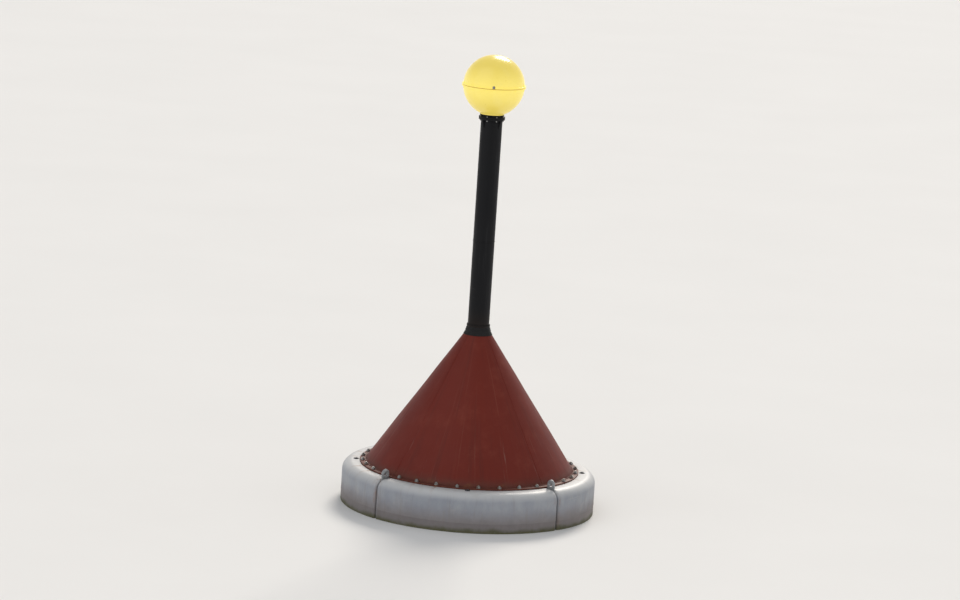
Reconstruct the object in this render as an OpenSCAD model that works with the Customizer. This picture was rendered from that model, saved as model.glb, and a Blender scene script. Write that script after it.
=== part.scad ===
// Lighted conical navigation buoy: a four-part float on a steel core with a weighted tail,
// a conical tower with a compartment door, a mast and a globe lantern.
// Millimetres. +Z is up and the origin is on the axis at the waterline.
// The tower's door is on the +Y side, and the float's seams lie on the diagonals.

/* [Float] */
// Outside diameter of the float
float_d = 1800; // [1700:10:1900]
// Height of the deck above the water
freeboard = 280; // [240:5:320]
// Depth of the float's flat bottom
draft = 400; // [360:5:460]
// Depth at which the side turns in towards the bottom
chine_depth = 140; // [100:5:180]
// Diameter of the flat bottom
bottom_d = 1100; // [900:10:1300]
// Radius of the deck's edge
rim_r = 70; // [50:5:90]
// Wall of a float module
float_wall = 10; // [8:1:14]
// Clearance between a module and the fin beside it
seam_clear = 2; // [1:0.5:4]

/* [Core and tail] */
// Outside diameter of the core tube
core_d = 219.1; // [193.7:0.1:244.5]
// Wall of the core tube
core_wall = 8; // [6:0.5:12]
// Depth of the tail tube's lower end
tail_depth = 1250; // [1100:10:1400]
// Thickness of a radial fin
fin_t = 8; // [6:1:12]
// Radius at which the lifting eyes stand
lug_at_r = 820; // [815:1:825]
// Radius of a lifting eye's hole
lug_hole_r = 15; // [12:0.5:18]
// Diameter of the counterweight
weight_d = 480; // [400:10:560]
// Height of one counterweight disc
weight_disc_h = 50; // [40:1:60]
// Number of counterweight discs
weight_discs = 4; // [2:1:5]

/* [Tower] */
// Diameter of the tower at the deck
cone_base_d = 1490; // [1400:10:1500]
// Half the tower's apex angle
cone_half_angle = 34; // [32:0.5:36]
// Plate thickness of the tower and its door
plate_t = 6; // [4:0.5:8]
// Radius of the tower's open top
cone_top_r = 87; // [85:1:100]
// Half the angle that the door opening spans
door_half_angle = 24; // [18:1:28]
// Height of the opening's sill above the deck
door_sill = 60; // [50:5:90]
// Height of the opening's head above the deck
door_head = 560; // [480:5:600]
// Gap round the door, at its sill and sides
door_gap = 6; // [5:0.5:8]

/* [Mast and lantern] */
// Outside diameter of the mast
mast_d = 152; // [140:1:158]
// Wall of the mast
mast_wall = 5; // [4:0.5:8]
// Radius of the mast's head flange and of the lantern's foot
head_r = 92; // [90:1:100]
// Height of the lantern's centre above the water
focal_h = 3010; // [2900:10:3200]
// Outside diameter of the lantern's globe
globe_d = 430; // [420:2:460]
// Wall of the globe
globe_wall = 5; // [4:0.5:7]
// Gap between the globe's two halves
globe_gap = 5; // [4:0.5:6]

/* [Mooring] */
// Radius of the shackle's pin
shackle_pin_r = 19; // [16:0.5:22]
// Thickness of the shackle's bow
shackle_rod_d = 35; // [30:1:38]
// Thickness of the mooring eye
eye_t = 36; // [28:1:40]

/* [Hidden] */
$fn = 96;

WHITE = "#ece9e2";
RED = "#8f2c21";
BLACK = "#15161a";
YELLOW = "#f6d23c";
ZINCED = "#9aa0a4";
CAST = "#3d3f42";
ANODE = "#b8bbbf";
GREY = "#50555a";

deck_z = freeboard;
float_r = float_d / 2;
core_r = core_d / 2;
weight_h = weight_discs * weight_disc_h;
tail_z = -tail_depth;

// Seams run between the modules at these directions
SEAMS = [45, 135, 225, 315];

cone_tan = tan(cone_half_angle);
cone_cos = cos(cone_half_angle);
flange_t = 10;
cone_z0 = deck_z + flange_t;
cone_z1 = deck_z + (cone_base_d / 2 - cone_top_r) / cone_tan;
door_z0 = deck_z + door_sill;
door_z1 = deck_z + door_head;
door_head_gap = door_gap + 2;
// The door hangs on the generator line at this direction
hinge_phi = 90 + door_half_angle;
latch_phi = 90 - door_half_angle;
// Height of the hinge pins over the plate, and the knuckles' radius
pin_n = 11;
knuckle_r = 9.5;
hinge_pin_r = 4;
hinge_l = 100;
// Weld gap between the tower's plate and the frame behind it
frame_gap = 0.3;
// Distance of a handle's shaft from the opening's edge, and the shaft's radius
handle_x = 48;
handle_shaft_r = 8;
// Heights of the two hinges and of the two handles
HINGE_Z = [430, 730];
HANDLE_Z = [450, 720];

deck_plate_t = 10;
deck_plate_r = 420;
mast_r = mast_d / 2;
foot_z = deck_z + deck_plate_t;
foot_t = 16;
globe_r = globe_d / 2;
mast_top_z = focal_h - globe_r - 25;
head_t = 12;
lantern_z = mast_top_z + head_t;
bowl_hole_r = 80;
// Flat foot of the bowl: its radius, and its two faces' heights above the lantern's underside
bowl_foot_r = 85;
foot_under = 26;
foot_top = 42;
rim_out_r = globe_r + 10;
rim_h = 8;
globe_pin_y = globe_r + 23;
globe_pin_r = 3.5;

end_plate_t = 20;
eye_z = tail_z - end_plate_t - 75;
eye_r = 55;
shackle_gap = 57;
rod_r = shackle_rod_d / 2;
ear_y = shackle_gap / 2 + rod_r;
bow_r = 54;
bow_drop = 87.5;

// Radius of the tower's outer surface at height z, moved out by t along its normal
function cone_r(z, t = 0) = cone_base_d / 2 - (z - deck_z) * cone_tan + t / cone_cos;

// Solid between two heights, bounded by the tower's outer surface moved out by t
module cone_solid(t, z0, z1) {
    translate([0, 0, z0]) cylinder(h = z1 - z0, r1 = cone_r(z0, t), r2 = cone_r(z1, t), $fn = 360);
}

// Sector that faces +Y, as wide as the door opening, with its side planes moved out by side
module door_sector(side, z0, z1) {
    reach = 1200;
    tip = -side / sin(door_half_angle);
    translate([0, 0, z0]) linear_extrude(z1 - z0) polygon([
        [0, tip],
        [reach * sin(door_half_angle), tip + reach * cos(door_half_angle)],
        [-reach * sin(door_half_angle), tip + reach * cos(door_half_angle)]]);
}

// Places its children on the tower: x along the ring, y up the slope, z outwards
module on_cone(phi, z) {
    rotate([0, 0, phi]) translate([cone_r(z), 0, z])
        rotate([0, -cone_half_angle, 0]) rotate([90, 0, 90]) children();
}

// Float outline, inset by w
module float_profile(w) {
    slope = atan2(draft - chine_depth, float_r - bottom_d / 2);
    r0 = core_r + 1.5 + w;
    union() {
        polygon([
            [r0, w - draft],
            [bottom_d / 2 - w * tan(slope / 2), w - draft],
            [float_r - w, w * tan((90 - slope) / 2) - chine_depth],
            [float_r - w, deck_z - rim_r],
            [float_r - rim_r, deck_z - rim_r],
            [float_r - rim_r, deck_z - w],
            [r0, deck_z - w]]);
        translate([float_r - rim_r, deck_z - rim_r]) circle(r = rim_r - w);
    }
}

// One quarter of the float, with the given distance from the seam's middle
module quarter(w) {
    half_seam = fin_t / 2 + seam_clear + w;
    intersection() {
        rotate_extrude() float_profile(w);
        rotate([0, 0, -45]) translate([half_seam, half_seam, -draft - 10])
            cube([float_r + 20, float_r + 20, draft + deck_z + 20]);
    }
}

// A hollow float module that faces the given direction
module float_module(facing) {
    color(WHITE) rotate([0, 0, facing]) difference() {
        quarter(0);
        quarter(float_wall);
    }
}

module float_front() { float_module(-90); }
module float_right() { float_module(0); }
module float_back() { float_module(90); }
module float_left() { float_module(180); }

module core_tube() {
    color(ZINCED) translate([0, 0, tail_z]) difference() {
        cylinder(h = tail_depth + deck_z, r = core_r);
        translate([0, 0, -1]) cylinder(h = tail_depth + deck_z + 2, r = core_r - core_wall);
    }
}

// Plates in the seams that tie the core to the lifting eyes
module radial_fins() {
    color(ZINCED) for (a = SEAMS) rotate([0, 0, a])
        rotate([90, 0, 0]) translate([0, 0, -fin_t / 2]) linear_extrude(fin_t) polygon([
            [core_r, 8 - draft],
            [bottom_d / 2 - 3, 8 - draft],
            [float_r - 15, -chine_depth],
            [float_r - 15, deck_z - rim_r],
            [lug_at_r + 40, deck_z - 25],
            [lug_at_r + 34, deck_z - 25],
            [lug_at_r + 34, deck_z - 2],
            [core_r, deck_z - 2]]);
}

// Lifting eyes on the deck, each with a cheek on both sides
module lifting_lugs() {
    hole_z = deck_z + 32;
    color(ZINCED) for (a = SEAMS) rotate([0, 0, a]) difference() {
        rotate([90, 0, 0]) union() {
            translate([lug_at_r - 34, deck_z - 2, -fin_t / 2]) cube([68, 34, fin_t]);
            translate([lug_at_r, hole_z, -fin_t / 2]) cylinder(h = fin_t, r = 34);
            translate([lug_at_r, hole_z, -fin_t / 2 - 6]) cylinder(h = fin_t + 12, r = 29);
        }
        rotate([90, 0, 0]) translate([lug_at_r, hole_z, -30]) cylinder(h = 60, r = lug_hole_r);
    }
}

module deck_plate() {
    color(ZINCED) translate([0, 0, deck_z]) difference() {
        cylinder(h = deck_plate_t, r = deck_plate_r);
        translate([0, 0, -1]) cylinder(h = deck_plate_t + 2, r = 60);
    }
}

// Plate and gussets that hold the modules up against the deck plate
module bottom_clamp() {
    plate_r = 350;
    t = 12;
    color(ZINCED) difference() {
        union() {
            translate([0, 0, -draft - t]) cylinder(h = t, r = plate_r);
            for (a = [0, 90, 180, 270]) rotate([0, 0, a]) rotate([90, 0, 0])
                translate([0, 0, -5]) linear_extrude(10) polygon([
                    [core_r - 4, -draft - t], [plate_r - 40, -draft - t],
                    [plate_r - 40, -draft - t - 20], [core_r + 30, -draft - t - 170],
                    [core_r - 4, -draft - t - 170]]);
        }
        translate([0, 0, -draft - 300]) cylinder(h = 320, r = core_r);
    }
}

// Cast discs threaded on the tail, with a shallow groove at each joint
module counterweight() {
    color(CAST) difference() {
        union() {
            translate([0, 0, tail_z]) cylinder(h = weight_h, r = weight_d / 2 - 8);
            for (i = [0 : weight_discs - 1])
                translate([0, 0, tail_z + i * weight_disc_h + 2])
                    cylinder(h = weight_disc_h - 4, r = weight_d / 2);
        }
        translate([0, 0, tail_z - 1]) cylinder(h = weight_h + 2, r = core_r);
    }
}

module weight_collar() {
    color(ZINCED) translate([0, 0, tail_z + weight_h]) difference() {
        union() {
            cylinder(h = 16, r = 175);
            cylinder(h = 60, r = core_r + 10);
        }
        translate([0, 0, -1]) cylinder(h = 62, r = core_r);
    }
}

// Sacrificial blocks on bars that stand off the tail tube
module anodes() {
    mid_z = tail_z + 500;
    color(ANODE) for (a = [45, 225]) rotate([0, 0, a]) translate([core_r, 0, mid_z]) union() {
        translate([18, -32, -150]) cube([42, 64, 300]);
        translate([14, -15, -210]) cube([6, 30, 420]);
        for (s = [-1, 1]) translate([0, -15, s * 200 - 10]) cube([16, 30, 20]);
    }
}

// End plate of the tail with the eye that the shackle's pin goes through
module mooring_eye() {
    color(ZINCED) difference() {
        union() {
            translate([0, 0, tail_z - end_plate_t]) cylinder(h = end_plate_t, r = 175);
            translate([-75, -eye_t / 2, eye_z + 35]) cube([150, eye_t, 42]);
            translate([-eye_r, -eye_t / 2, eye_z]) cube([2 * eye_r, eye_t, 60]);
            translate([0, 0, eye_z]) rotate([90, 0, 0])
                cylinder(h = eye_t, r = eye_r, center = true);
        }
        translate([0, 0, eye_z]) rotate([90, 0, 0])
            cylinder(h = eye_t + 40, r = shackle_pin_r + 1, center = true);
    }
}

// Bow of the shackle: two eyes, two legs and a round crown
module shackle_bow() {
    $fn = 48;
    color(ZINCED) translate([0, 0, eye_z]) difference() {
        union() {
            for (s = [-1, 1]) {
                translate([0, s * ear_y, 0]) rotate([90, 0, 0])
                    cylinder(h = shackle_rod_d, r = 40, center = true);
                translate([0, s * bow_r, -bow_drop]) {
                    sphere(r = rod_r + 1.5);
                    rotate([-s * atan2(ear_y - bow_r, bow_drop), 0, 0])
                        cylinder(h = norm([bow_drop, bow_r - ear_y]), r = rod_r);
                }
            }
            translate([0, 0, -bow_drop]) rotate([0, 90, 0]) rotate([0, 0, -90])
                rotate_extrude(angle = 180) translate([bow_r, 0]) circle(r = rod_r);
        }
        rotate([90, 0, 0]) cylinder(h = 200, r = shackle_pin_r + 1, center = true);
    }
}

module shackle_pin() {
    outer = ear_y + rod_r;
    color(ZINCED) translate([0, 0, eye_z]) union() {
        rotate([90, 0, 0]) cylinder(h = 2 * outer + 60, r = shackle_pin_r, center = true);
        translate([0, -outer - 19, 0]) rotate([90, 0, 0])
            cylinder(h = 16, r = shackle_pin_r + 9, center = true);
        translate([0, outer + 17.5, 0]) rotate([90, 0, 0])
            cylinder(h = 23, r = shackle_pin_r + 12, center = true, $fn = 6);
        translate([0, outer + 5, 0]) rotate([90, 0, 0])
            cylinder(h = 3, r = shackle_pin_r + 5, center = true);
    }
}

module tower_flange() {
    color(RED) translate([0, 0, deck_z]) difference() {
        cylinder(h = flange_t, r = cone_base_d / 2 + 33);
        translate([0, 0, -1]) cylinder(h = flange_t + 2, r = cone_base_d / 2 - 40);
    }
}

module tower_cone() {
    color(RED) difference() {
        cone_solid(0, cone_z0, cone_z1);
        cone_solid(-plate_t, cone_z0 - 1, cone_z1 + 1);
        door_sector(0, door_z0, door_z1);
    }
}

// Solid ring round the opening, between two depths under the tower's outer surface.
// It starts at the distance "behind" from the opening's edge and reaches "inside" into the opening.
module opening_ring(behind, inside, top, bottom) {
    difference() {
        intersection() {
            cone_solid(-top, door_z0 - behind, door_z1 + behind);
            door_sector(behind, door_z0 - behind - 1, door_z1 + behind + 1);
        }
        cone_solid(-bottom, door_z0 - behind - 1, door_z1 + behind + 1);
        door_sector(-inside, door_z0 + inside, door_z1 - inside);
    }
}

// Angle bar behind the opening's edge: a web that stiffens it and a flange that the door's seal lies on
module door_frame() {
    color(RED) union() {
        opening_ring(6, 0, plate_t + frame_gap, plate_t + 28);
        opening_ring(6, 17, plate_t + 5.3, plate_t + 9.3);
    }
}

// Rubber collar that closes the tower's top round the mast, with a neck for its band
module tower_collar() {
    neck_r = mast_r + 5;
    color(BLACK) translate([0, 0, cone_z1]) rotate_extrude() polygon([
        [mast_r, 0], [cone_top_r + 3, 0], [cone_top_r + 3, 12],
        [neck_r, 38], [neck_r, 54], [mast_r, 54]]);
}

// Knuckles of one hinge: from and to are distances along the pin
module knuckle(from, to) {
    translate([0, from, pin_n]) rotate([-90, 0, 0]) cylinder(h = to - from, r = knuckle_r);
}

// Fixed halves of the door's hinges, with their pins
module door_hinge_brackets() {
    h = hinge_l / 2;
    color(RED) difference() {
        for (z = HINGE_Z) on_cone(hinge_phi, z) union() {
            translate([12, -h, -8]) cube([38, hinge_l, 14.5]);
            for (y = [-h, 18]) {
                translate([0, y, 1.5]) cube([14, h - 18, 5]);
                knuckle(y, y + h - 18);
            }
            translate([0, -h, pin_n]) rotate([-90, 0, 0])
                cylinder(h = hinge_l, r = hinge_pin_r);
        }
        cone_solid(0, deck_z, cone_z1);
    }
}

// Moving halves of the door's hinges
module door_hinge_leaves() {
    h = hinge_l / 2;
    color(RED) difference() {
        for (z = HINGE_Z) on_cone(hinge_phi, z) difference() {
            union() {
                translate([-50, -h, -8]) cube([38, hinge_l, 14.5]);
                translate([-14, -17, 1.5]) cube([14, 34, 5]);
                knuckle(-17, 17);
            }
            translate([0, -h, pin_n]) rotate([-90, 0, 0])
                cylinder(h = hinge_l, r = hinge_pin_r + 0.3);
        }
        cone_solid(0, deck_z, cone_z1);
    }
}

module tower_door() {
    color(RED) difference() {
        intersection() {
            cone_solid(0, door_z0 + door_gap, door_z1 - door_head_gap);
            door_sector(-door_gap, door_z0, door_z1);
        }
        cone_solid(-plate_t, door_z0, door_z1);
        for (z = HANDLE_Z) on_cone(latch_phi, z)
            translate([handle_x, 0, -30]) cylinder(h = 60, r = handle_shaft_r + 0.5);
    }
}

// Turn handles near the door's free edge, with the shafts and the pawls inside, which are turned away
module door_handles() {
    color(BLACK) union() {
        difference() {
            for (z = HANDLE_Z) on_cone(latch_phi, z) translate([handle_x, 0, 0]) union() {
                translate([0, 0, -8]) cylinder(h = 14, r = 19);
                cylinder(h = 16, r = 10);
                translate([-8, -40, 14]) cube([16, 80, 9]);
            }
            cone_solid(0, deck_z, cone_z1);
        }
        for (z = HANDLE_Z) on_cone(latch_phi, z) translate([handle_x, 0, 0]) {
            translate([0, 0, -34]) cylinder(h = 40, r = handle_shaft_r);
            translate([0, 0, -34]) cylinder(h = 14, r = 13);
            translate([-9, -58, -32]) cube([18, 72, 6]);
        }
    }
}

module mast_foot() {
    color(BLACK) difference() {
        union() {
            translate([0, 0, foot_z]) cylinder(h = foot_t, r = 160);
            for (a = SEAMS) rotate([0, 0, a]) rotate([90, 0, 0])
                translate([0, 0, -5]) linear_extrude(10) polygon([
                    [mast_r - 3, foot_z + foot_t - 3], [150, foot_z + foot_t - 3],
                    [150, foot_z + foot_t + 15], [mast_r + 12, foot_z + foot_t + 130],
                    [mast_r - 3, foot_z + foot_t + 130]]);
        }
        translate([0, 0, foot_z + foot_t]) cylinder(h = 200, r = mast_r);
        translate([0, 0, foot_z - 1]) cylinder(h = foot_t + 2, r = 60);
    }
}

module mast_tube() {
    z0 = foot_z + foot_t;
    color(BLACK) translate([0, 0, z0]) difference() {
        cylinder(h = mast_top_z - z0, r = mast_r);
        translate([0, 0, -1]) cylinder(h = mast_top_z - z0 + 2, r = mast_r - mast_wall);
    }
}

module mast_head() {
    color(BLACK) translate([0, 0, mast_top_z]) difference() {
        cylinder(h = head_t, r = head_r);
        translate([0, 0, -1]) cylinder(h = head_t + 2, r = 45);
    }
}

// Sealed battery box with a lid, on the deck plate beside the mast foot
module battery_box(side) {
    color(GREY) translate([side * 265, 0, foot_z]) union() {
        translate([-88, -196, 0]) cube([176, 392, 205]);
        translate([-92, -200, 205]) cube([184, 400, 25]);
    }
}

module battery_box_left() { battery_box(-1); }
module battery_box_right() { battery_box(1); }

// Foot of the lantern, with the seat and the inner ring that clamp the bowl's foot
module lantern_base() {
    seat_r = bowl_foot_r + 1;
    color(BLACK) translate([0, 0, lantern_z]) rotate_extrude() polygon([
        [30, 0], [head_r, 0], [head_r, 10], [80.5, 12], [80.5, 18], [seat_r, 23], [seat_r, foot_under],
        [bowl_hole_r - 2, foot_under], [bowl_hole_r - 2, foot_top], [87, foot_top], [87, 52], [30, 52]]);
}

// Lower half of the globe, with its foot, its rim, the seal's upstand and the hinge's fixed ears
module lantern_bowl() {
    top = focal_h - globe_gap / 2;
    color(YELLOW) difference() {
        union() {
            difference() {
                union() {
                    intersection() {
                        translate([0, 0, focal_h]) sphere(r = globe_r);
                        translate([0, 0, focal_h - globe_r - 5]) cylinder(h = top - focal_h + globe_r + 5, r = globe_r + 5);
                    }
                    translate([0, 0, top - rim_h]) cylinder(h = rim_h, r = rim_out_r);
                    translate([0, 0, top - rim_h]) cylinder(h = rim_h + 9, r = globe_r - globe_wall - 6);
                    for (x = [-34, 16]) {
                        translate([x, rim_out_r - 8, top - rim_h]) cube([18, globe_pin_y - rim_out_r + 8, rim_h]);
                        translate([x, globe_pin_y, focal_h]) rotate([0, 90, 0]) cylinder(h = 18, r = 9);
                    }
                    translate([-34, globe_pin_y, focal_h]) rotate([0, 90, 0]) cylinder(h = 68, r = globe_pin_r);
                    translate([-12, -rim_out_r - 9, top - rim_h - 3]) cube([24, 12, rim_h + 3]);
                }
                intersection() {
                    translate([0, 0, focal_h]) sphere(r = globe_r - globe_wall);
                    translate([0, 0, focal_h - globe_r]) cylinder(h = globe_r - rim_h - 10, r = globe_r);
                }
                translate([0, 0, focal_h - rim_h - 11]) cylinder(h = 40, r = globe_r - globe_wall - 12);
            }
            translate([0, 0, lantern_z + foot_under]) cylinder(h = foot_top - foot_under, r = bowl_foot_r);
        }
        translate([0, 0, focal_h - globe_r - 10]) cylinder(h = 60, r = bowl_hole_r);
    }
}

// Upper half of the globe, with its rim and the hinge's moving ear
module lantern_dome() {
    bottom = focal_h + globe_gap / 2;
    color(YELLOW) difference() {
        union() {
            intersection() {
                translate([0, 0, focal_h]) sphere(r = globe_r);
                translate([0, 0, bottom]) cylinder(h = globe_r + 5, r = globe_r + 5);
            }
            translate([0, 0, bottom]) cylinder(h = rim_h, r = rim_out_r);
            translate([-15, rim_out_r - 8, bottom]) cube([30, globe_pin_y - rim_out_r + 8, rim_h]);
            translate([-15, globe_pin_y, focal_h]) rotate([0, 90, 0]) cylinder(h = 30, r = 9);
        }
        translate([0, 0, focal_h]) sphere(r = globe_r - globe_wall);
        translate([-20, globe_pin_y, focal_h]) rotate([0, 90, 0]) cylinder(h = 40, r = globe_pin_r + 0.3);
    }
}

// Catch on the dome's front edge
module lantern_clip() {
    bottom = focal_h + globe_gap / 2;
    color(BLACK) difference() {
        translate([-10, -rim_out_r - 9, bottom + 1]) cube([20, 20, 20]);
        translate([0, 0, focal_h]) sphere(r = globe_r);
        translate([0, 0, bottom - 1]) cylinder(h = rim_h + 1, r = rim_out_r);
    }
}

module lamp_stand() {
    color(GREY) translate([0, 0, lantern_z + 52]) union() {
        cylinder(h = 8, r = 70);
        cylinder(h = 110, r = 32);
        translate([0, 0, 100]) cylinder(h = 10, r = 58);
    }
}

// Ringed lens with the light sources behind it
module lamp_head() {
    color(YELLOW) translate([0, 0, lantern_z + 162]) union() {
        for (i = [0 : 3]) translate([0, 0, i * 24]) {
            cylinder(h = 12, r1 = 46, r2 = 54);
            translate([0, 0, 12]) cylinder(h = 12, r1 = 54, r2 = 46);
        }
        translate([0, 0, 96]) cylinder(h = 10, r = 40);
    }
}

float_front();
float_right();
float_back();
float_left();
core_tube();
radial_fins();
lifting_lugs();
deck_plate();
bottom_clamp();
counterweight();
weight_collar();
anodes();
mooring_eye();
shackle_bow();
shackle_pin();
tower_flange();
tower_cone();
door_frame();
tower_collar();
door_hinge_brackets();
tower_door();
door_hinge_leaves();
door_handles();
mast_foot();
mast_tube();
mast_head();
battery_box_left();
battery_box_right();
lantern_base();
lantern_bowl();
lantern_dome();
lantern_clip();
lamp_stand();
lamp_head();
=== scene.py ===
import math

import bmesh
import bpy
import numpy as np
from mathutils import Matrix, Vector, noise


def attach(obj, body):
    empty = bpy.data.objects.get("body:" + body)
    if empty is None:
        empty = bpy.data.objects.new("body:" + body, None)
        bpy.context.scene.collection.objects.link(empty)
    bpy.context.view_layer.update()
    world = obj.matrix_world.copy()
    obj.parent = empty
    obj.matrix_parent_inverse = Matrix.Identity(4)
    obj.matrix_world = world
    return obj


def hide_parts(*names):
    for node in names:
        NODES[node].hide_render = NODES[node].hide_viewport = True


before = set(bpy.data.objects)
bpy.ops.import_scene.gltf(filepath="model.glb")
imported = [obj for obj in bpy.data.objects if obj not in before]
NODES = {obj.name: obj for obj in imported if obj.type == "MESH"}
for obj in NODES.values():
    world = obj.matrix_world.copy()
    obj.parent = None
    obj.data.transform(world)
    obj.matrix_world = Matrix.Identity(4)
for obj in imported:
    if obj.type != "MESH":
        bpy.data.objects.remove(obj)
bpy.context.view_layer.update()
MM = 0.001

# ------------------------------------------------------------------ sizes, in millimetres, as in the construction
DECK = 280.0
DRAFT = 400.0
FLOAT_R = 900.0
CHINE = 140.0
BOTTOM_R = 550.0
RIM = 70.0
CORE_R = 109.55
SEAM = 6.0
CONE_R = 745.0
HALF = math.radians(34.0)
TAN, COS, SIN = math.tan(HALF), math.cos(HALF), math.sin(HALF)
CONE_Z0 = 290.0
CONE_TOP_R = 87.0
CONE_Z1 = DECK + (CONE_R - CONE_TOP_R) / TAN
PLATE = 6.0
DOOR_A = 24.0
DOOR_Z0, DOOR_Z1 = 340.0, 840.0
MAST_R = 76.0
HEAD_R = 92.0
FOCAL = 3010.0
GLOBE_R = 215.0
MAST_TOP = FOCAL - GLOBE_R - 25.0
TAIL = -1250.0
EYE_Z = -1345.0


def cone_r(z, t=0.0):
    return CONE_R - (z - DECK) * TAN + t / COS


# ------------------------------------------------------------------ mesh helpers
class Buf:
    """Vertices in millimetres and faces, gathered into one mesh."""

    def __init__(self):
        self.v, self.f, self.m, self.n = [], [], [], 0

    def add(self, verts, faces, mat=0, matrix=None):
        verts = np.asarray(verts, float).reshape(-1, 3)
        if matrix is not None:
            m = np.array(matrix, float)
            verts = verts @ m[:3, :3].T + m[:3, 3]
        self.v.append(verts)
        self.f += [tuple(i + self.n for i in f) for f in faces]
        self.m += [mat] * len(faces)
        self.n += len(verts)
        return self

    def obj(self, name, mats, body, slot=None, replaces=(), angle=38.0, bevel=None, smooth=True):
        me = bpy.data.meshes.new(name)
        co = np.concatenate(self.v) * MM
        me.from_pydata([tuple(c) for c in co], [], self.f)
        me.polygons.foreach_set("material_index", self.m)
        me.update()
        ob = bpy.data.objects.new(name, me)
        bpy.context.scene.collection.objects.link(ob)
        for m in mats if isinstance(mats, (list, tuple)) else [mats]:
            me.materials.append(m)
        clean(me)
        if bevel:
            round_edges(me, bevel[0], bevel[1] if len(bevel) > 1 else 2, bevel[2] if len(bevel) > 2 else 40.0)
        if smooth:
            soften(me, angle)
        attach(ob, body)
        if replaces:
            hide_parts(*([replaces] if isinstance(replaces, str) else replaces))
        return ob


def clean(me):
    bm = bmesh.new()
    bm.from_mesh(me)
    bmesh.ops.remove_doubles(bm, verts=bm.verts, dist=1e-6)
    bmesh.ops.recalc_face_normals(bm, faces=bm.faces)
    bm.to_mesh(me)
    bm.free()


def round_edges(me, width, segments=2, angle=40.0):
    bm = bmesh.new()
    bm.from_mesh(me)
    edges = [e for e in bm.edges if len(e.link_faces) == 2 and e.calc_face_angle(0.0) > math.radians(angle)]
    bmesh.ops.bevel(bm, geom=edges, offset=width * MM, offset_type="OFFSET", segments=segments, profile=0.5,
                    affect="EDGES", clamp_overlap=True)
    bm.to_mesh(me)
    bm.free()


def soften(me, angle):
    limit = math.radians(angle)
    bm = bmesh.new()
    bm.from_mesh(me)
    for f in bm.faces:
        f.smooth = True
    for e in bm.edges:
        e.smooth = len(e.link_faces) == 2 and e.calc_face_angle(0.0) < limit
    bm.to_mesh(me)
    bm.free()


def T(x=0.0, y=0.0, z=0.0):
    return Matrix.Translation((x, y, z))


def R(deg, axis):
    return Matrix.Rotation(math.radians(deg), 4, axis)


def on_cone(phi, z, x=0.0, y=0.0, n=0.0):
    """Frame on the tower: x along the ring, y up the slope, z outwards."""
    return (R(phi, "Z") @ T(cone_r(z), 0, z) @ R(-34.0, "Y") @ R(90, "Z") @ R(90, "X") @ T(x, y, n))


def revolve(buf, prof, n=96, mat=0, matrix=None, loop=False):
    """Turns a list of (r, z) round the z axis. A point at r = 0 becomes one vertex."""
    verts, rows = [], []
    for r, z in prof:
        if abs(r) < 1e-9:
            rows.append([len(verts)] * n)
            verts.append((0.0, 0.0, z))
        else:
            rows.append(list(range(len(verts), len(verts) + n)))
            verts += [(r * math.cos(2 * math.pi * k / n), r * math.sin(2 * math.pi * k / n), z) for k in range(n)]
    faces = []
    pairs = list(zip(rows, rows[1:])) + ([(rows[-1], rows[0])] if loop else [])
    for a, b in pairs:
        for k in range(n):
            q = [a[k], a[(k + 1) % n], b[(k + 1) % n], b[k]]
            q = [v for i, v in enumerate(q) if v not in q[:i]]
            if len(q) > 2:
                faces.append(q)
    return buf.add(verts, faces, mat, matrix)


def fillet(points, radii, seg=5, closed=True):
    """Rounds the corners of a polygon. radii is one number or one per corner."""
    n = len(points)
    radii = [radii] * n if isinstance(radii, (int, float)) else radii
    out = []
    for i, p in enumerate(points):
        r = radii[i]
        if r <= 0 or (not closed and i in (0, n - 1)):
            out.append(tuple(p))
            continue
        p = Vector(p).to_2d() if len(p) > 2 else Vector(p)
        a, b = Vector(points[i - 1]), Vector(points[(i + 1) % n])
        u, w = (a - p), (b - p)
        lu, lw = u.length, w.length
        u, w = u / lu, w / lw
        half = math.acos(max(-1, min(1, u.dot(w)))) / 2
        if abs(math.cos(half)) < 1e-4:
            out.append(tuple(p))
            continue
        d = min(r / math.tan(half), lu * 0.49, lw * 0.49)
        r = d * math.tan(half)
        c = p + (u + w).normalized() * (r / math.sin(half))
        s, e = p + u * d - c, p + w * d - c
        a0 = math.atan2(s.y, s.x)
        da = math.atan2(s.x * e.y - s.y * e.x, s.dot(e))
        out += [(c.x + r * math.cos(a0 + da * k / seg), c.y + r * math.sin(a0 + da * k / seg)) for k in range(seg + 1)]
    return out


def prism(buf, outline, t, mat=0, matrix=None):
    """Extrudes a closed 2-D outline from z = 0 to z = t."""
    n = len(outline)
    verts = [(x, y, 0.0) for x, y in outline] + [(x, y, t) for x, y in outline]
    faces = [list(range(n))[::-1], list(range(n, 2 * n))]
    faces += [[i, (i + 1) % n, n + (i + 1) % n, n + i] for i in range(n)]
    return buf.add(verts, faces, mat, matrix)


def box(buf, x0, y0, z0, x1, y1, z1, mat=0, matrix=None):
    v = [(x, y, z) for x in (x0, x1) for y in (y0, y1) for z in (z0, z1)]
    f = [(0, 1, 3, 2), (4, 6, 7, 5), (0, 4, 5, 1), (2, 3, 7, 6), (0, 2, 6, 4), (1, 5, 7, 3)]
    return buf.add(v, f, mat, matrix)


def circle_pts(r, n, cx=0.0, cy=0.0, a0=0.0):
    return [(cx + r * math.cos(a0 + 2 * math.pi * k / n), cy + r * math.sin(a0 + 2 * math.pi * k / n)) for k in range(n)]


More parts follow.
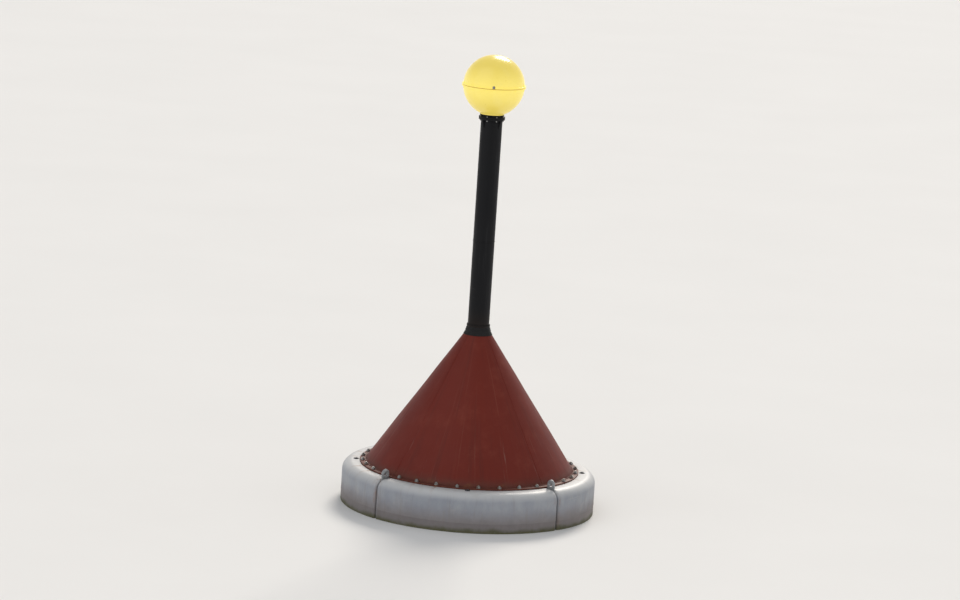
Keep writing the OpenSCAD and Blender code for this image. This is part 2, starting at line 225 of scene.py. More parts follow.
def plate_mesh(outline, holes, t, edge=0.0, res=1):
    """(vertices, faces) of a flat plate with holes, centred on z = 0, with rounded edges."""
    cu = bpy.data.curves.new("tmp", "CURVE")
    cu.dimensions = "2D"
    cu.fill_mode = "BOTH"
    cu.extrude = t / 2 - edge
    cu.bevel_depth = edge
    cu.bevel_resolution = res
    cu.offset = -edge
    def turned(pts, want):
        area = sum(p[0] * q[1] - q[0] * p[1] for p, q in zip(pts, list(pts[1:]) + [pts[0]]))
        return list(pts) if (area > 0) == want else list(pts)[::-1]

    for pts in [turned(outline, True)] + [turned(h, False) for h in holes]:
        sp = cu.splines.new("POLY")
        sp.points.add(len(pts) - 1)
        for p, (x, y) in zip(sp.points, pts):
            p.co = (x, y, 0, 1)
        sp.use_cyclic_u = True
    ob = bpy.data.objects.new("tmp", cu)
    bpy.context.scene.collection.objects.link(ob)
    me = bpy.data.meshes.new_from_object(ob)
    v = [tuple(x.co) for x in me.vertices]
    f = [tuple(p.vertices) for p in me.polygons]
    bpy.data.objects.remove(ob)
    bpy.data.curves.remove(cu)
    bpy.data.meshes.remove(me)
    return v, f


def sweep(buf, path, radius, sides=10, closed=False, mat=0, matrix=None, caps=True, squash=1.0):
    """A tube along points; radius is a number or a function of the index."""
    pts = [Vector(p) for p in path]
    n = len(pts)
    tang = []
    for i in range(n):
        a = pts[(i - 1) % n] if closed or i else pts[0]
        b = pts[(i + 1) % n] if closed or i < n - 1 else pts[-1]
        tang.append((b - a).normalized())
    up = Vector((0, 0, 1)) if abs(tang[0].z) < 0.9 else Vector((1, 0, 0))
    x = tang[0].cross(up).normalized()
    verts = []
    for i in range(n):
        x = (x - tang[i] * x.dot(tang[i])).normalized()
        y = tang[i].cross(x)
        r = radius(i) if callable(radius) else radius
        for k in range(sides):
            a = 2 * math.pi * k / sides
            verts.append(tuple(pts[i] + x * (r * math.cos(a)) + y * (r * squash * math.sin(a))))
    faces = []
    for i in range(n if closed else n - 1):
        j = (i + 1) % n
        for k in range(sides):
            q = (k + 1) % sides
            faces.append((i * sides + k, i * sides + q, j * sides + q, j * sides + k))
    if caps and not closed:
        faces.append(tuple(range(sides))[::-1])
        faces.append(tuple((n - 1) * sides + k for k in range(sides)))
    return buf.add(verts, faces, mat, matrix)


def weld(buf, path, r, closed=False, pitch=5.0, sides=6, mat=0, seed=0.0, matrix=None):
    """A weld bead along a path, with its ripple and a little wander."""
    pts = [Vector(p) for p in path]
    if closed:
        pts.append(pts[0])
    seg = [(b - a).length for a, b in zip(pts, pts[1:])]
    total = sum(seg)
    n = max(8, int(total / (pitch / 2)))
    out, acc, i = [], 0.0, 0
    for k in range(n if closed else n + 1):
        d = total * k / n
        while i < len(seg) - 1 and acc + seg[i] < d:
            acc += seg[i]
            i += 1
        out.append(pts[i].lerp(pts[i + 1], (d - acc) / max(seg[i], 1e-9)))
    rr = [r * (1.0 + (0.10 if k % 2 else -0.10) + 0.16 * noise.noise((k * 0.11, seed, 3.1))) for k in range(len(out))]
    return sweep(buf, out, lambda k: rr[k], sides, closed, mat, matrix)


def ring_path(r, z, n=180, a0=0.0, a1=360.0):
    full = abs(a1 - a0 - 360.0) < 1e-6
    m = n if full else n + 1
    return [(r * math.cos(math.radians(a0 + (a1 - a0) * k / n)), r * math.sin(math.radians(a0 + (a1 - a0) * k / n)), z)
            for k in range(m)]


def hex_bolt(buf, matrix, af=24.0, head=10.0, washer_r=15.0, washer_t=3.0, stud=0.0, stud_r=8.0, mat=0, turn=0.0):
    """A hexagon head or nut on a washer, standing along +z, with an optional stud end."""
    m = matrix @ R(turn, "Z")
    seg = 20
    c = min(0.6, washer_t * 0.4)
    revolve(buf, [(0, 0), (washer_r - c, 0), (washer_r, c), (washer_r, washer_t - c), (washer_r - c, washer_t),
                  (0, washer_t)], seg, mat, m)
    r = af / 2 / math.cos(math.pi / 6)
    z0 = washer_t
    hexa = [(r * math.cos(math.pi / 3 * k), r * math.sin(math.pi / 3 * k)) for k in range(6)]
    v = [(x, y, z0 - 0.3) for x, y in hexa] + [(x, y, z0 + head - 1.6) for x, y in hexa]
    v += [(x * 0.90, y * 0.90, z0 + head) for x, y in hexa]
    f = [(i, (i + 1) % 6, 6 + (i + 1) % 6, 6 + i) for i in range(6)]
    f += [(6 + i, 6 + (i + 1) % 6, 12 + (i + 1) % 6, 12 + i) for i in range(6)]
    f += [tuple(range(12, 18)), (5, 4, 3, 2, 1, 0)]
    buf.add(v, f, mat, m)
    if stud:
        revolve(buf, [(0, z0 + head - 0.5), (stud_r, z0 + head - 0.5), (stud_r, z0 + head + stud - 1.2),
                      (stud_r - 1.2, z0 + head + stud), (0, z0 + head + stud)], 14, mat, m)


def pan_screw(buf, matrix, r=5.0, h=3.0, mat=0):
    revolve(buf, [(0, 0), (r, 0), (r, h * 0.35), (r * 0.82, h * 0.8), (r * 0.5, h), (r * 0.32, h), (r * 0.30, h * 0.45), (0, h * 0.45)],
            14, mat, matrix)


# ------------------------------------------------------------------ materials
def new_mat(name):
    m = bpy.data.materials.new(name)
    m.use_nodes = True
    nt = m.node_tree
    nt.nodes.clear()
    return m, nt, Net(nt)


class Net:
    """Short hands for building a node tree."""

    def __init__(self, nt):
        self.nt = nt
        self.out = nt.nodes.new("ShaderNodeOutputMaterial")
        tc = nt.nodes.new("ShaderNodeTexCoord")
        self.co = tc.outputs["Object"]
        sep = nt.nodes.new("ShaderNodeSeparateXYZ")
        nt.links.new(self.co, sep.inputs[0])
        self.x, self.y, self.z = sep.outputs

    def link(self, a, b):
        if isinstance(a, (int, float)):
            b.default_value = a
        elif isinstance(a, (tuple, list)):
            b.default_value = tuple(a) + (1.0,) * (4 - len(a)) if len(b.default_value) == 4 else a
        else:
            self.nt.links.new(a, b)

    def math(self, op, a, b=0.0, c=0.0, clamp=False):
        n = self.nt.nodes.new("ShaderNodeMath")
        n.operation = op
        n.use_clamp = clamp
        for v, s in zip((a, b, c), n.inputs):
            self.link(v, s)
        return n.outputs[0]

    def scale(self, sx, sy, sz, loc=(0, 0, 0)):
        n = self.nt.nodes.new("ShaderNodeMapping")
        self.nt.links.new(self.co, n.inputs["Vector"])
        n.inputs["Scale"].default_value = (sx, sy, sz)
        n.inputs["Location"].default_value = loc
        return n.outputs[0]

    def radius(self):
        sq = self.math("ADD", self.math("MULTIPLY", self.x, self.x), self.math("MULTIPLY", self.y, self.y))
        return self.math("MAXIMUM", self.math("SQRT", sq), 0.02)

    def around(self, per_turn, up, lift=0.0):
        """Coordinates that run round the upright axis, so that streaks follow the slope of a cone."""
        r = self.radius()
        n = self.nt.nodes.new("ShaderNodeCombineXYZ")
        self.link(self.math("MULTIPLY", self.math("DIVIDE", self.x, r), per_turn), n.inputs[0])
        self.link(self.math("MULTIPLY", self.math("DIVIDE", self.y, r), per_turn), n.inputs[1])
        self.link(self.math("MULTIPLY", self.math("ADD", self.z, lift), up), n.inputs[2])
        return n.outputs[0]

    def noise(self, scale, detail=4.0, rough=0.55, vec=None, dist=0.0, out="Fac"):
        n = self.nt.nodes.new("ShaderNodeTexNoise")
        self.nt.links.new(vec if vec is not None else self.co, n.inputs["Vector"])
        n.inputs["Scale"].default_value = scale
        n.inputs["Detail"].default_value = detail
        n.inputs["Roughness"].default_value = rough
        n.inputs["Distortion"].default_value = dist
        return n.outputs[out]

    def voronoi(self, scale, feature="F1", vec=None, out="Distance", rand=1.0):
        n = self.nt.nodes.new("ShaderNodeTexVoronoi")
        n.feature = feature
        self.nt.links.new(vec if vec is not None else self.co, n.inputs["Vector"])
        n.inputs["Scale"].default_value = scale
        n.inputs["Randomness"].default_value = rand
        return n.outputs[out]

    def ramp(self, v, a, b, lo=0.0, hi=1.0, smooth=True):
        n = self.nt.nodes.new("ShaderNodeMapRange")
        n.interpolation_type = "SMOOTHSTEP" if smooth else "LINEAR"
        self.link(v, n.inputs["Value"])
        n.inputs["From Min"].default_value = a
        n.inputs["From Max"].default_value = b
        n.inputs["To Min"].default_value = lo
        n.inputs["To Max"].default_value = hi
        return n.outputs["Result"]

    def mix(self, f, a, b, kind="MIX"):
        n = self.nt.nodes.new("ShaderNodeMix")
        n.data_type = "RGBA"
        n.blend_type = kind
        self.link(f, n.inputs[0])
        self.link(a, n.inputs[6])
        self.link(b, n.inputs[7])
        return n.outputs[2]

    def bump(self, h, dist, strength=1.0, normal=None):
        n = self.nt.nodes.new("ShaderNodeBump")
        n.inputs["Strength"].default_value = strength
        n.inputs["Distance"].default_value = dist
        self.link(h, n.inputs["Height"])
        if normal is not None:
            self.nt.links.new(normal, n.inputs["Normal"])
        return n.outputs[0]

    def shader(self, color, rough, metallic=0.0, normal=None, **extra):
        n = self.nt.nodes.new("ShaderNodeBsdfPrincipled")
        self.link(color, n.inputs["Base Color"])
        self.link(rough, n.inputs["Roughness"])
        self.link(metallic, n.inputs["Metallic"])
        if normal is not None:
            self.nt.links.new(normal, n.inputs["Normal"])
        for k, v in extra.items():
            self.link(v, n.inputs[k.replace("_", " ")])
        self.nt.links.new(n.outputs[0], self.out.inputs["Surface"])
        return n


def fouling(k):
    """Masks low on the body: a band that deepens towards the waterline, the slime line, and growth under water."""
    wob = k.math("MULTIPLY", k.math("SUBTRACT", k.noise(7.0, 5.0, 0.6), 0.5), 0.075)
    zz = k.math("ADD", k.z, wob)
    low_band = k.ramp(zz, 0.195, 0.055)
    slime = k.ramp(zz, 0.042, 0.004)
    under = k.ramp(zz, 0.012, -0.03)
    return low_band, slime, under


def bolt_weeps(k):
    """Mask of the lines below the 32 bolts of the tower's flange, where rust runs out over the deck."""
    phi = k.math("ARCTAN2", k.y, k.x)
    line = k.ramp(k.math("COSINE", k.math("MULTIPLY", phi, 32.0)), -0.80, -1.0)
    some = k.ramp(k.noise(1.0, 3, 0.6, k.around(5.0, 0.0, 0.0)), 0.47, 0.60)
    return k.math("MULTIPLY", line, some)


def mat_float():
    # weathering, with painted shade darkening the side
    m, nt, k = new_mat("weathered_float_painted_side_shade")
    low_band, slime, under = fouling(k)
    base = k.mix(k.noise(2.3, 5, 0.6), (0.55, 0.555, 0.56), (0.455, 0.463, 0.473))
    # painted shade: the side is darkened to a blue-grey below the deck's edge, so the deck stays lighter, as a backlit
    # float looks
    painted_side_shade = k.math("MULTIPLY", k.ramp(k.z, 0.270, 0.216), k.ramp(k.noise(1.0, 5, 0.6, k.around(9.0, 5.0)), 0.20, 0.70, 0.62, 0.92))
    base = k.mix(painted_side_shade, base, (0.252, 0.272, 0.316))
    blotch = k.ramp(k.noise(11.0, 6, 0.65), 0.52, 0.75)
    base = k.mix(k.math("MULTIPLY", blotch, 0.35), base, (0.44, 0.43, 0.41))
    r = k.radius()
    outside = k.ramp(r, 0.776, 0.779)
    dirt = k.math("MULTIPLY", k.math("MULTIPLY", outside, k.ramp(r, 0.815, 0.779)), k.ramp(k.noise(15.0, 5, 0.65), 0.36, 0.62))
    base = k.mix(k.math("MULTIPLY", dirt, 0.55), base, (0.27, 0.25, 0.22))
    fade = k.math("ADD", k.ramp(r, 0.885, 0.780, 0.12, 1.0), 0.0)
    fade = k.math("MULTIPLY", k.math("MULTIPLY", fade, outside), k.ramp(k.z, 0.06, 0.26))
    weeps = k.math("MULTIPLY", k.math("MULTIPLY", bolt_weeps(k), fade), k.ramp(k.noise(40.0, 4, 0.65), 0.34, 0.60))
    base = k.mix(k.math("MULTIPLY", weeps, 0.85), base, (0.27, 0.125, 0.050))
    runs = k.ramp(k.noise(1.0, 5, 0.6, k.around(26, 2.2)), 0.53, 0.70)
    runs = k.math("MULTIPLY", runs, k.ramp(k.z, 0.285, 0.20))
    base = k.mix(k.math("MULTIPLY", runs, 0.40), base, (0.245, 0.225, 0.205))
    scuff = k.ramp(k.noise(1.0, 3, 0.5, k.scale(3.5, 3.5, 90)), 0.66, 0.74)
    base = k.mix(k.math("MULTIPLY", scuff, 0.20), base, (0.43, 0.44, 0.45))
    u = k.math("ABSOLUTE", k.math("MULTIPLY", k.math("SUBTRACT", k.x, k.y), 0.70711))
    v = k.math("ABSOLUTE", k.math("MULTIPLY", k.math("ADD", k.x, k.y), 0.70711))
    near = k.math("MINIMUM", u, v)
    weep = k.math("MULTIPLY", k.ramp(near, 0.060, 0.006), k.ramp(k.noise(1.0, 5, 0.65, k.scale(60, 60, 5.0)), 0.40, 0.62))
    weep = k.math("MULTIPLY", weep, k.ramp(k.noise(6.0, 4, 0.6), 0.38, 0.60))
    base = k.mix(k.math("MULTIPLY", weep, 0.62), base, (0.25, 0.125, 0.055))
    # the side turns darker and browner towards the waterline
    low_band_color = k.mix(k.noise(24.0, 5, 0.7), (0.150, 0.122, 0.112), (0.225, 0.192, 0.180))
    base = k.mix(k.math("MULTIPLY", low_band, 0.80), base, low_band_color)
    green = k.mix(k.noise(38.0, 5, 0.7), (0.045, 0.055, 0.022), (0.13, 0.12, 0.05))
    base = k.mix(k.math("MULTIPLY", slime, 0.9), base, green)
    cells = k.voronoi(58.0)
    shells = k.math("MULTIPLY", k.ramp(cells, 0.34, 0.20), k.ramp(k.noise(5.0, 4, 0.6), 0.47, 0.60))
    shells = k.math("MULTIPLY", shells, under)
    base = k.mix(k.math("MULTIPLY", shells, 0.8), base, (0.42, 0.40, 0.35))
    rough = k.math("ADD", 0.40, k.math("MULTIPLY", k.noise(16, 4, 0.6), 0.16))
    rough = k.math("ADD", rough, k.math("MULTIPLY", low_band, 0.18), clamp=True)
    nrm = k.bump(k.noise(260.0, 2, 0.5), 0.0008, 0.35)
    nrm = k.bump(k.noise(14.0, 3, 0.5), 0.004, 0.25, nrm)
    nrm = k.bump(shells, 0.004, 0.9, nrm)
    k.shader(base, rough, 0.0, nrm, Specular_IOR_Level=0.42)
    return m


def mat_tower():
    m, nt, k = new_mat("oxide_red_paint")
    a = k.mix(k.noise(1.7, 5, 0.6), (0.165, 0.0180, 0.0092), (0.122, 0.0140, 0.0076))
    fade = k.ramp(k.noise(5.5, 6, 0.68), 0.50, 0.78)
    a = k.mix(k.math("MULTIPLY", fade, 0.34), a, (0.235, 0.050, 0.030))
    runs = k.ramp(k.noise(1.0, 6, 0.66, k.around(15.0, 1.1)), 0.52, 0.70)
    a = k.mix(k.math("MULTIPLY", runs, 0.46), a, (0.078, 0.0150, 0.0105))
    pale = k.ramp(k.noise(1.0, 6, 0.70, k.around(23.0, 0.9, 3.0)), 0.56, 0.76)
    a = k.mix(k.math("MULTIPLY", pale, 0.24), a, (0.30, 0.105, 0.075))
    salt = k.ramp(k.noise(1.0, 5, 0.7, k.around(34.0, 2.6, 7.0)), 0.60, 0.76)
    salt = k.math("MULTIPLY", salt, k.ramp(k.z, 0.95, 0.32))
    a = k.mix(k.math("MULTIPLY", salt, 0.30), a, (0.40, 0.30, 0.26))
    low = k.math("MULTIPLY", k.ramp(k.math("ADD", k.z, k.math("MULTIPLY", k.noise(18, 4, 0.6), 0.05)), 0.385, 0.30), 0.60)
    a = k.mix(low, a, (0.088, 0.042, 0.030))
    # chips: a pale rim of primer round a rusty middle
    flake = k.noise(72.0, 6, 0.72)
    where = k.ramp(k.noise(3.2, 3, 0.5), 0.50, 0.62)
    rim = k.math("MULTIPLY", k.ramp(flake, 0.685, 0.700), where)
    core = k.math("MULTIPLY", k.ramp(flake, 0.705, 0.725), where)
    a = k.mix(k.math("MULTIPLY", rim, 0.80), a, (0.25, 0.22, 0.19))
    a = k.mix(core, a, (0.115, 0.045, 0.018))
    # rust that weeps out from the flange's bolts and the weld at the foot
    r = k.radius()
    foot = k.math("MULTIPLY", k.ramp(k.z, 0.335, 0.292), k.ramp(k.noise(21.0, 5, 0.7), 0.50, 0.66))
    edge = k.math("MULTIPLY", k.math("MULTIPLY", bolt_weeps(k), k.ramp(r, 0.756, 0.772)), k.ramp(k.z, 0.30, 0.295))
    foot = k.math("MAXIMUM", k.math("MULTIPLY", foot, 0.55), k.math("MULTIPLY", edge, 0.8))
    a = k.mix(foot, a, (0.16, 0.060, 0.022))
    rough = k.math("ADD", 0.44, k.math("MULTIPLY", k.noise(9.0, 5, 0.6), 0.26))
    rough = k.math("ADD", rough, k.math("MULTIPLY", salt, 0.25), clamp=True)
    nrm = k.bump(k.noise(190.0, 2, 0.5), 0.0006, 0.30)
    nrm = k.bump(k.noise(11.0, 3, 0.5), 0.003, 0.16, nrm)
    nrm = k.bump(k.math("SUBTRACT", 1.0, rim), 0.0006, 0.7, nrm)
    k.shader(a, rough, 0.0, nrm, Specular_IOR_Level=0.22)
    return m


def mat_black():
    m, nt, k = new_mat("black_paint")
    a = k.mix(k.noise(3.0, 5, 0.6), (0.0030, 0.0034, 0.0050), (0.0080, 0.0080, 0.0092))
    runs = k.ramp(k.noise(1.0, 6, 0.65, k.scale(46, 46, 1.7)), 0.56, 0.74)
    a = k.mix(k.math("MULTIPLY", runs, 0.45), a, (0.040, 0.040, 0.043))
    scr = k.ramp(k.noise(1.0, 2, 0.4, k.scale(12, 12, 240)), 0.73, 0.78)
    a = k.mix(k.math("MULTIPLY", scr, 0.35), a, (0.09, 0.09, 0.09))
    warm = k.ramp(k.z, 1.45, 1.24)
    a = k.mix(k.math("MULTIPLY", warm, 0.55), a, (0.024, 0.014, 0.009))
    rough = k.math("ADD", 0.34, k.math("MULTIPLY", k.noise(12.0, 5, 0.65), 0.30))
    nrm = k.bump(k.noise(210.0, 2, 0.5), 0.0005, 0.30)
    k.shader(a, rough, 0.0, nrm, Specular_IOR_Level=0.17)
    return m


def mat_galv(name="galvanised_steel", wet=True):
    m, nt, k = new_mat(name)
    v = k.voronoi(210.0, "F1", out="Color")
    bw = nt.nodes.new("ShaderNodeRGBToBW")
    nt.links.new(v, bw.inputs[0])
    sp = bw.outputs[0]
    sp = k.math("ADD", k.math("MULTIPLY", sp, 0.45), k.math("MULTIPLY", k.noise(42.0, 5, 0.7), 0.55))
    a = k.mix(k.ramp(sp, 0.30, 0.70), (0.27, 0.28, 0.29), (0.42, 0.43, 0.44))
    white = k.ramp(k.noise(17.0, 6, 0.7), 0.56, 0.74)
    a = k.mix(k.math("MULTIPLY", white, 0.45), a, (0.60, 0.60, 0.58))
    rust = k.math("MULTIPLY", k.ramp(k.noise(8.0, 6, 0.72), 0.60, 0.74), 0.75)
    a = k.mix(rust, a, (0.20, 0.085, 0.035))
    rough = k.math("ADD", 0.42, k.math("MULTIPLY", k.noise(20.0, 4, 0.6), 0.28))
    metal = k.math("SUBTRACT", 0.62, k.math("MULTIPLY", rust, 0.6), clamp=True)
    if wet:
        low_band, slime, under = fouling(k)
        green = k.mix(k.noise(40.0, 5, 0.7), (0.050, 0.058, 0.026), (0.15, 0.135, 0.07))
        patch = k.math("MULTIPLY", under, k.ramp(k.noise(6.0, 6, 0.7), 0.36, 0.58))
        a = k.mix(k.math("MULTIPLY", patch, 0.88), a, green)
        metal = k.math("MULTIPLY", metal, k.math("SUBTRACT", 1.0, patch))
        rough = k.math("ADD", rough, k.math("MULTIPLY", patch, 0.25), clamp=True)
        cells = k.voronoi(64.0)
        shells = k.math("MULTIPLY", k.math("MULTIPLY", k.ramp(cells, 0.32, 0.18), k.ramp(k.noise(4.0, 4, 0.6), 0.50, 0.62)), under)
        a = k.mix(k.math("MULTIPLY", shells, 0.8), a, (0.44, 0.42, 0.37))
        nrm = k.bump(k.noise(60.0, 5, 0.7), 0.0025, 0.45)
        nrm = k.bump(shells, 0.004, 0.9, nrm)
    else:
        nrm = k.bump(k.noise(120.0, 3, 0.6), 0.0008, 0.35)
    k.shader(a, rough, metal, nrm)
    return m


def mat_cast():
    m, nt, k = new_mat("coated_iron")
    a = k.mix(k.noise(9.0, 6, 0.7), (0.022, 0.024, 0.026), (0.055, 0.055, 0.052))
    rust = k.ramp(k.noise(6.5, 7, 0.74), 0.50, 0.64)
    a = k.mix(k.math("MULTIPLY", rust, 0.85), a, (0.17, 0.065, 0.028))
    green = k.mix(k.noise(44.0, 5, 0.7), (0.045, 0.055, 0.024), (0.14, 0.13, 0.07))
    patch = k.ramp(k.noise(4.5, 6, 0.7, k.scale(1, 1, 1, (4, 2, 1))), 0.44, 0.62)
    a = k.mix(k.math("MULTIPLY", patch, 0.75), a, green)
    rough = k.math("ADD", 0.62, k.math("MULTIPLY", k.noise(20.0, 4, 0.6), 0.3), clamp=True)
    nrm = k.bump(k.noise(70.0, 6, 0.75), 0.004, 0.6)
    k.shader(a, rough, 0.1, nrm)
    return m


def mat_anode():
    m, nt, k = new_mat("worn_anode")
    a = k.mix(k.noise(26.0, 6, 0.72), (0.24, 0.25, 0.26), (0.46, 0.46, 0.45))
    white = k.ramp(k.noise(13.0, 7, 0.78), 0.48, 0.62)
    a = k.mix(white, a, (0.62, 0.62, 0.58))
    pits = k.voronoi(85.0)
    nrm = k.bump(k.ramp(pits, 0.0, 0.45), 0.006, 0.8)
    nrm = k.bump(k.noise(34.0, 6, 0.75), 0.006, 0.7, nrm)
    k.shader(a, 0.78, 0.15, nrm)
    return m


def mat_globe():
    m, nt, k = new_mat("lantern_lens")
    f = k.noise(5.0, 4, 0.6)
    a = k.mix(f, (0.50, 0.387, 0.085), (0.46, 0.342, 0.068))
    dust = k.ramp(k.noise(1.0, 5, 0.65, k.scale(9, 9, 2.4)), 0.52, 0.74)
    a = k.mix(k.math("MULTIPLY", dust, 0.25), a, (0.47, 0.40, 0.22))
    rough = k.math("ADD", 0.22, k.math("MULTIPLY", k.noise(30.0, 4, 0.6), 0.16))
    nrm = k.bump(k.noise(120.0, 2, 0.5), 0.0004, 0.2)
    s = k.shader(a, rough, 0.0, nrm, Specular_IOR_Level=0.5)
    s.inputs["Subsurface Weight"].default_value = 0.0
    s.inputs["Coat Weight"].default_value = 0.35
    s.inputs["Coat Roughness"].default_value = 0.12
    s.inputs["Alpha"].default_value = 0.90
    core = k.ramp(k.math("ABSOLUTE", k.math("SUBTRACT", k.z, 3.005)), 0.0, 0.17)
    k.link(k.mix(core, (0.605, 0.522, 0.116), (0.445, 0.368, 0.066)), s.inputs["Emission Color"])
    s.inputs["Emission Strength"].default_value = 1.0
    return m


def mat_lamp():
    m, nt, k = new_mat("lamp_lens")
    rings = k.math("SINE", k.math("MULTIPLY", k.z, 1800.0))
    a = k.mix(k.ramp(rings, -1, 1), (0.72, 0.60, 0.32), (0.50, 0.38, 0.16))
    nrm = k.bump(rings, 0.0008, 0.6)
    s = k.shader(a, 0.15, 0.0, nrm)
    s.inputs["Emission Color"].default_value = (1.0, 0.80, 0.34, 1.0)
    s.inputs["Emission Strength"].default_value = 0.22
    return m


def mat_bolts():
    m, nt, k = new_mat("weathered_bolts")
    a = k.mix(k.noise(45.0, 5, 0.65), (0.23, 0.23, 0.225), (0.40, 0.40, 0.395))
    tea = k.ramp(k.noise(28.0, 6, 0.72, k.scale(1, 1, 1, (2.3, 0.7, 1.9))), 0.49, 0.62)
    a = k.mix(k.math("MULTIPLY", tea, 0.80), a, (0.098, 0.052, 0.022))
    rough = k.math("ADD", 0.36, k.math("MULTIPLY", tea, 0.34), clamp=True)
    metal = k.math("SUBTRACT", 0.85, k.math("MULTIPLY", tea, 0.70), clamp=True)
    nrm = k.bump(k.noise(320.0, 3, 0.6), 0.0004, 0.5)
    k.shader(a, rough, metal, nrm)
    return m


def mat_plain(name, c0, c1, rough, bumpy=0.0006, metallic=0.0, spec=0.5, scale=20.0):
    m, nt, k = new_mat(name)
    a = k.mix(k.noise(scale, 6, 0.65), c0, c1)
    r = k.math("ADD", rough - 0.08, k.math("MULTIPLY", k.noise(scale * 1.7, 4, 0.6), 0.2), clamp=True)
    nrm = k.bump(k.noise(scale * 12, 3, 0.6), bumpy, 0.4)
    k.shader(a, r, metallic, nrm, Specular_IOR_Level=spec)
    return m


M_FLOAT = mat_float()
M_TOWER = mat_tower()
M_BLACK = mat_black()
M_GALV = mat_galv()
M_GALV_DRY = mat_galv("galvanised_steel_inside", wet=False)
M_CAST = mat_cast()
M_ANODE = mat_anode()
M_GLOBE = mat_globe()
M_LAMP = mat_lamp()
M_STEEL = mat_bolts()
M_RUBBER = mat_plain("black_rubber", (0.007, 0.007, 0.008), (0.019, 0.018, 0.018), 0.66, 0.0006, spec=0.22)
M_BATTERY = mat_plain("battery_box_plastic", (0.028, 0.030, 0.033), (0.052, 0.055, 0.060), 0.48, 0.0006)
M_SEAL = mat_plain("clear_seal", (0.50, 0.34, 0.07), (0.62, 0.43, 0.10), 0.5, 0.0004)
M_ALU = mat_plain("cast_aluminium", (0.36, 0.37, 0.38), (0.52, 0.53, 0.54), 0.46, 0.0005, 0.75)


# ------------------------------------------------------------------ float
def float_outline(w, f):
    """Outline of the float at inset w, always with the same number of points. f is the largest inset."""
    slope = math.atan2(DRAFT - CHINE, FLOAT_R - BOTTOM_R)
    r0 = CORE_R + 1.5 + w
    b = (BOTTOM_R - w * math.tan(slope / 2), w - DRAFT)
    c = (FLOAT_R - w, w * math.tan((math.pi / 2 - slope) / 2) - CHINE)
    corner = fillet([(r0, w - DRAFT), b, c, (FLOAT_R - w, DECK - RIM)], [0, 45 - w, 70 - w, 0], 8, closed=False)
    pts = corner[:-1]
    s = 1.0 - w / f
    line = 70.0
    for dz, dr in ((-4, 0), (-2.4, 0.8), (-1, 1.3), (1, 1.3), (2.4, 0.8), (4, 0)):
        pts.append((FLOAT_R - w + dr * s, line + dz))
    pts.append((FLOAT_R - w, 150.0))
    for k in range(17):
        a = math.pi / 2 * k / 16
        pts.append((FLOAT_R - RIM + (RIM - w) * math.cos(a), DECK - RIM + (RIM - w) * math.sin(a)))
    pts.append((700.0, DECK - w))
    pts.append((r0, DECK - w))
    pts.append((r0, -60.0))
    return pts


def float_module(name, facing, node):
    f = 15.0
    n_round, n_mid = 6, 84
    slices = []
    for j in range(n_round + 1):
        a = math.pi / 2 * j / n_round
        slices.append((f * (1 - math.cos(a)), f * (1 - math.sin(a))))
    verts, count = [], None

    def arc(side, d, w):
        row = []
        for r, z in float_outline(w, f):
            th = math.asin((SEAM + d) / r)
            th = th if side == 0 else math.pi / 2 - th
            row.append((r, z, th))
        return row

    rows = [arc(0, d, w) for d, w in slices]
    first, last = arc(0, f, 0.0), arc(1, f, 0.0)
    for j in range(1, n_mid):
        t = j / n_mid
        rows.append([(a[0], a[1], a[2] * (1 - t) + b[2] * t) for a, b in zip(first, last)])
    rows += [arc(1, d, w) for d, w in slices[::-1]]
    m = len(rows[0])
    turn = math.radians(facing - 45.0)
    for row in rows:
        for r, z, th in row:
            wob = 1.1 * noise.noise((r * 0.004 * math.cos(th + turn), r * 0.004 * math.sin(th + turn), z * 0.004))
            rr = r - abs(wob) if z < DECK - 8 and r > 200 else r
            verts.append((rr * math.cos(th + turn), rr * math.sin(th + turn), z))
    faces = []
    for i in range(len(rows) - 1):
        for k in range(m):
            q = (k + 1) % m
            faces.append((i * m + k, i * m + q, (i + 1) * m + q, (i + 1) * m + k))
    faces.append(tuple(range(m))[::-1])
    faces.append(tuple((len(rows) - 1) * m + k for k in range(m)))
    b = Buf().add(verts, faces)
    return b.obj(name, M_FLOAT, "hull", "float", node, angle=50)


for side, facing in (("front", -90), ("right", 0), ("back", 90), ("left", 180)):
    float_module(f"float_{side}_moulding", facing, f"float_{side}")


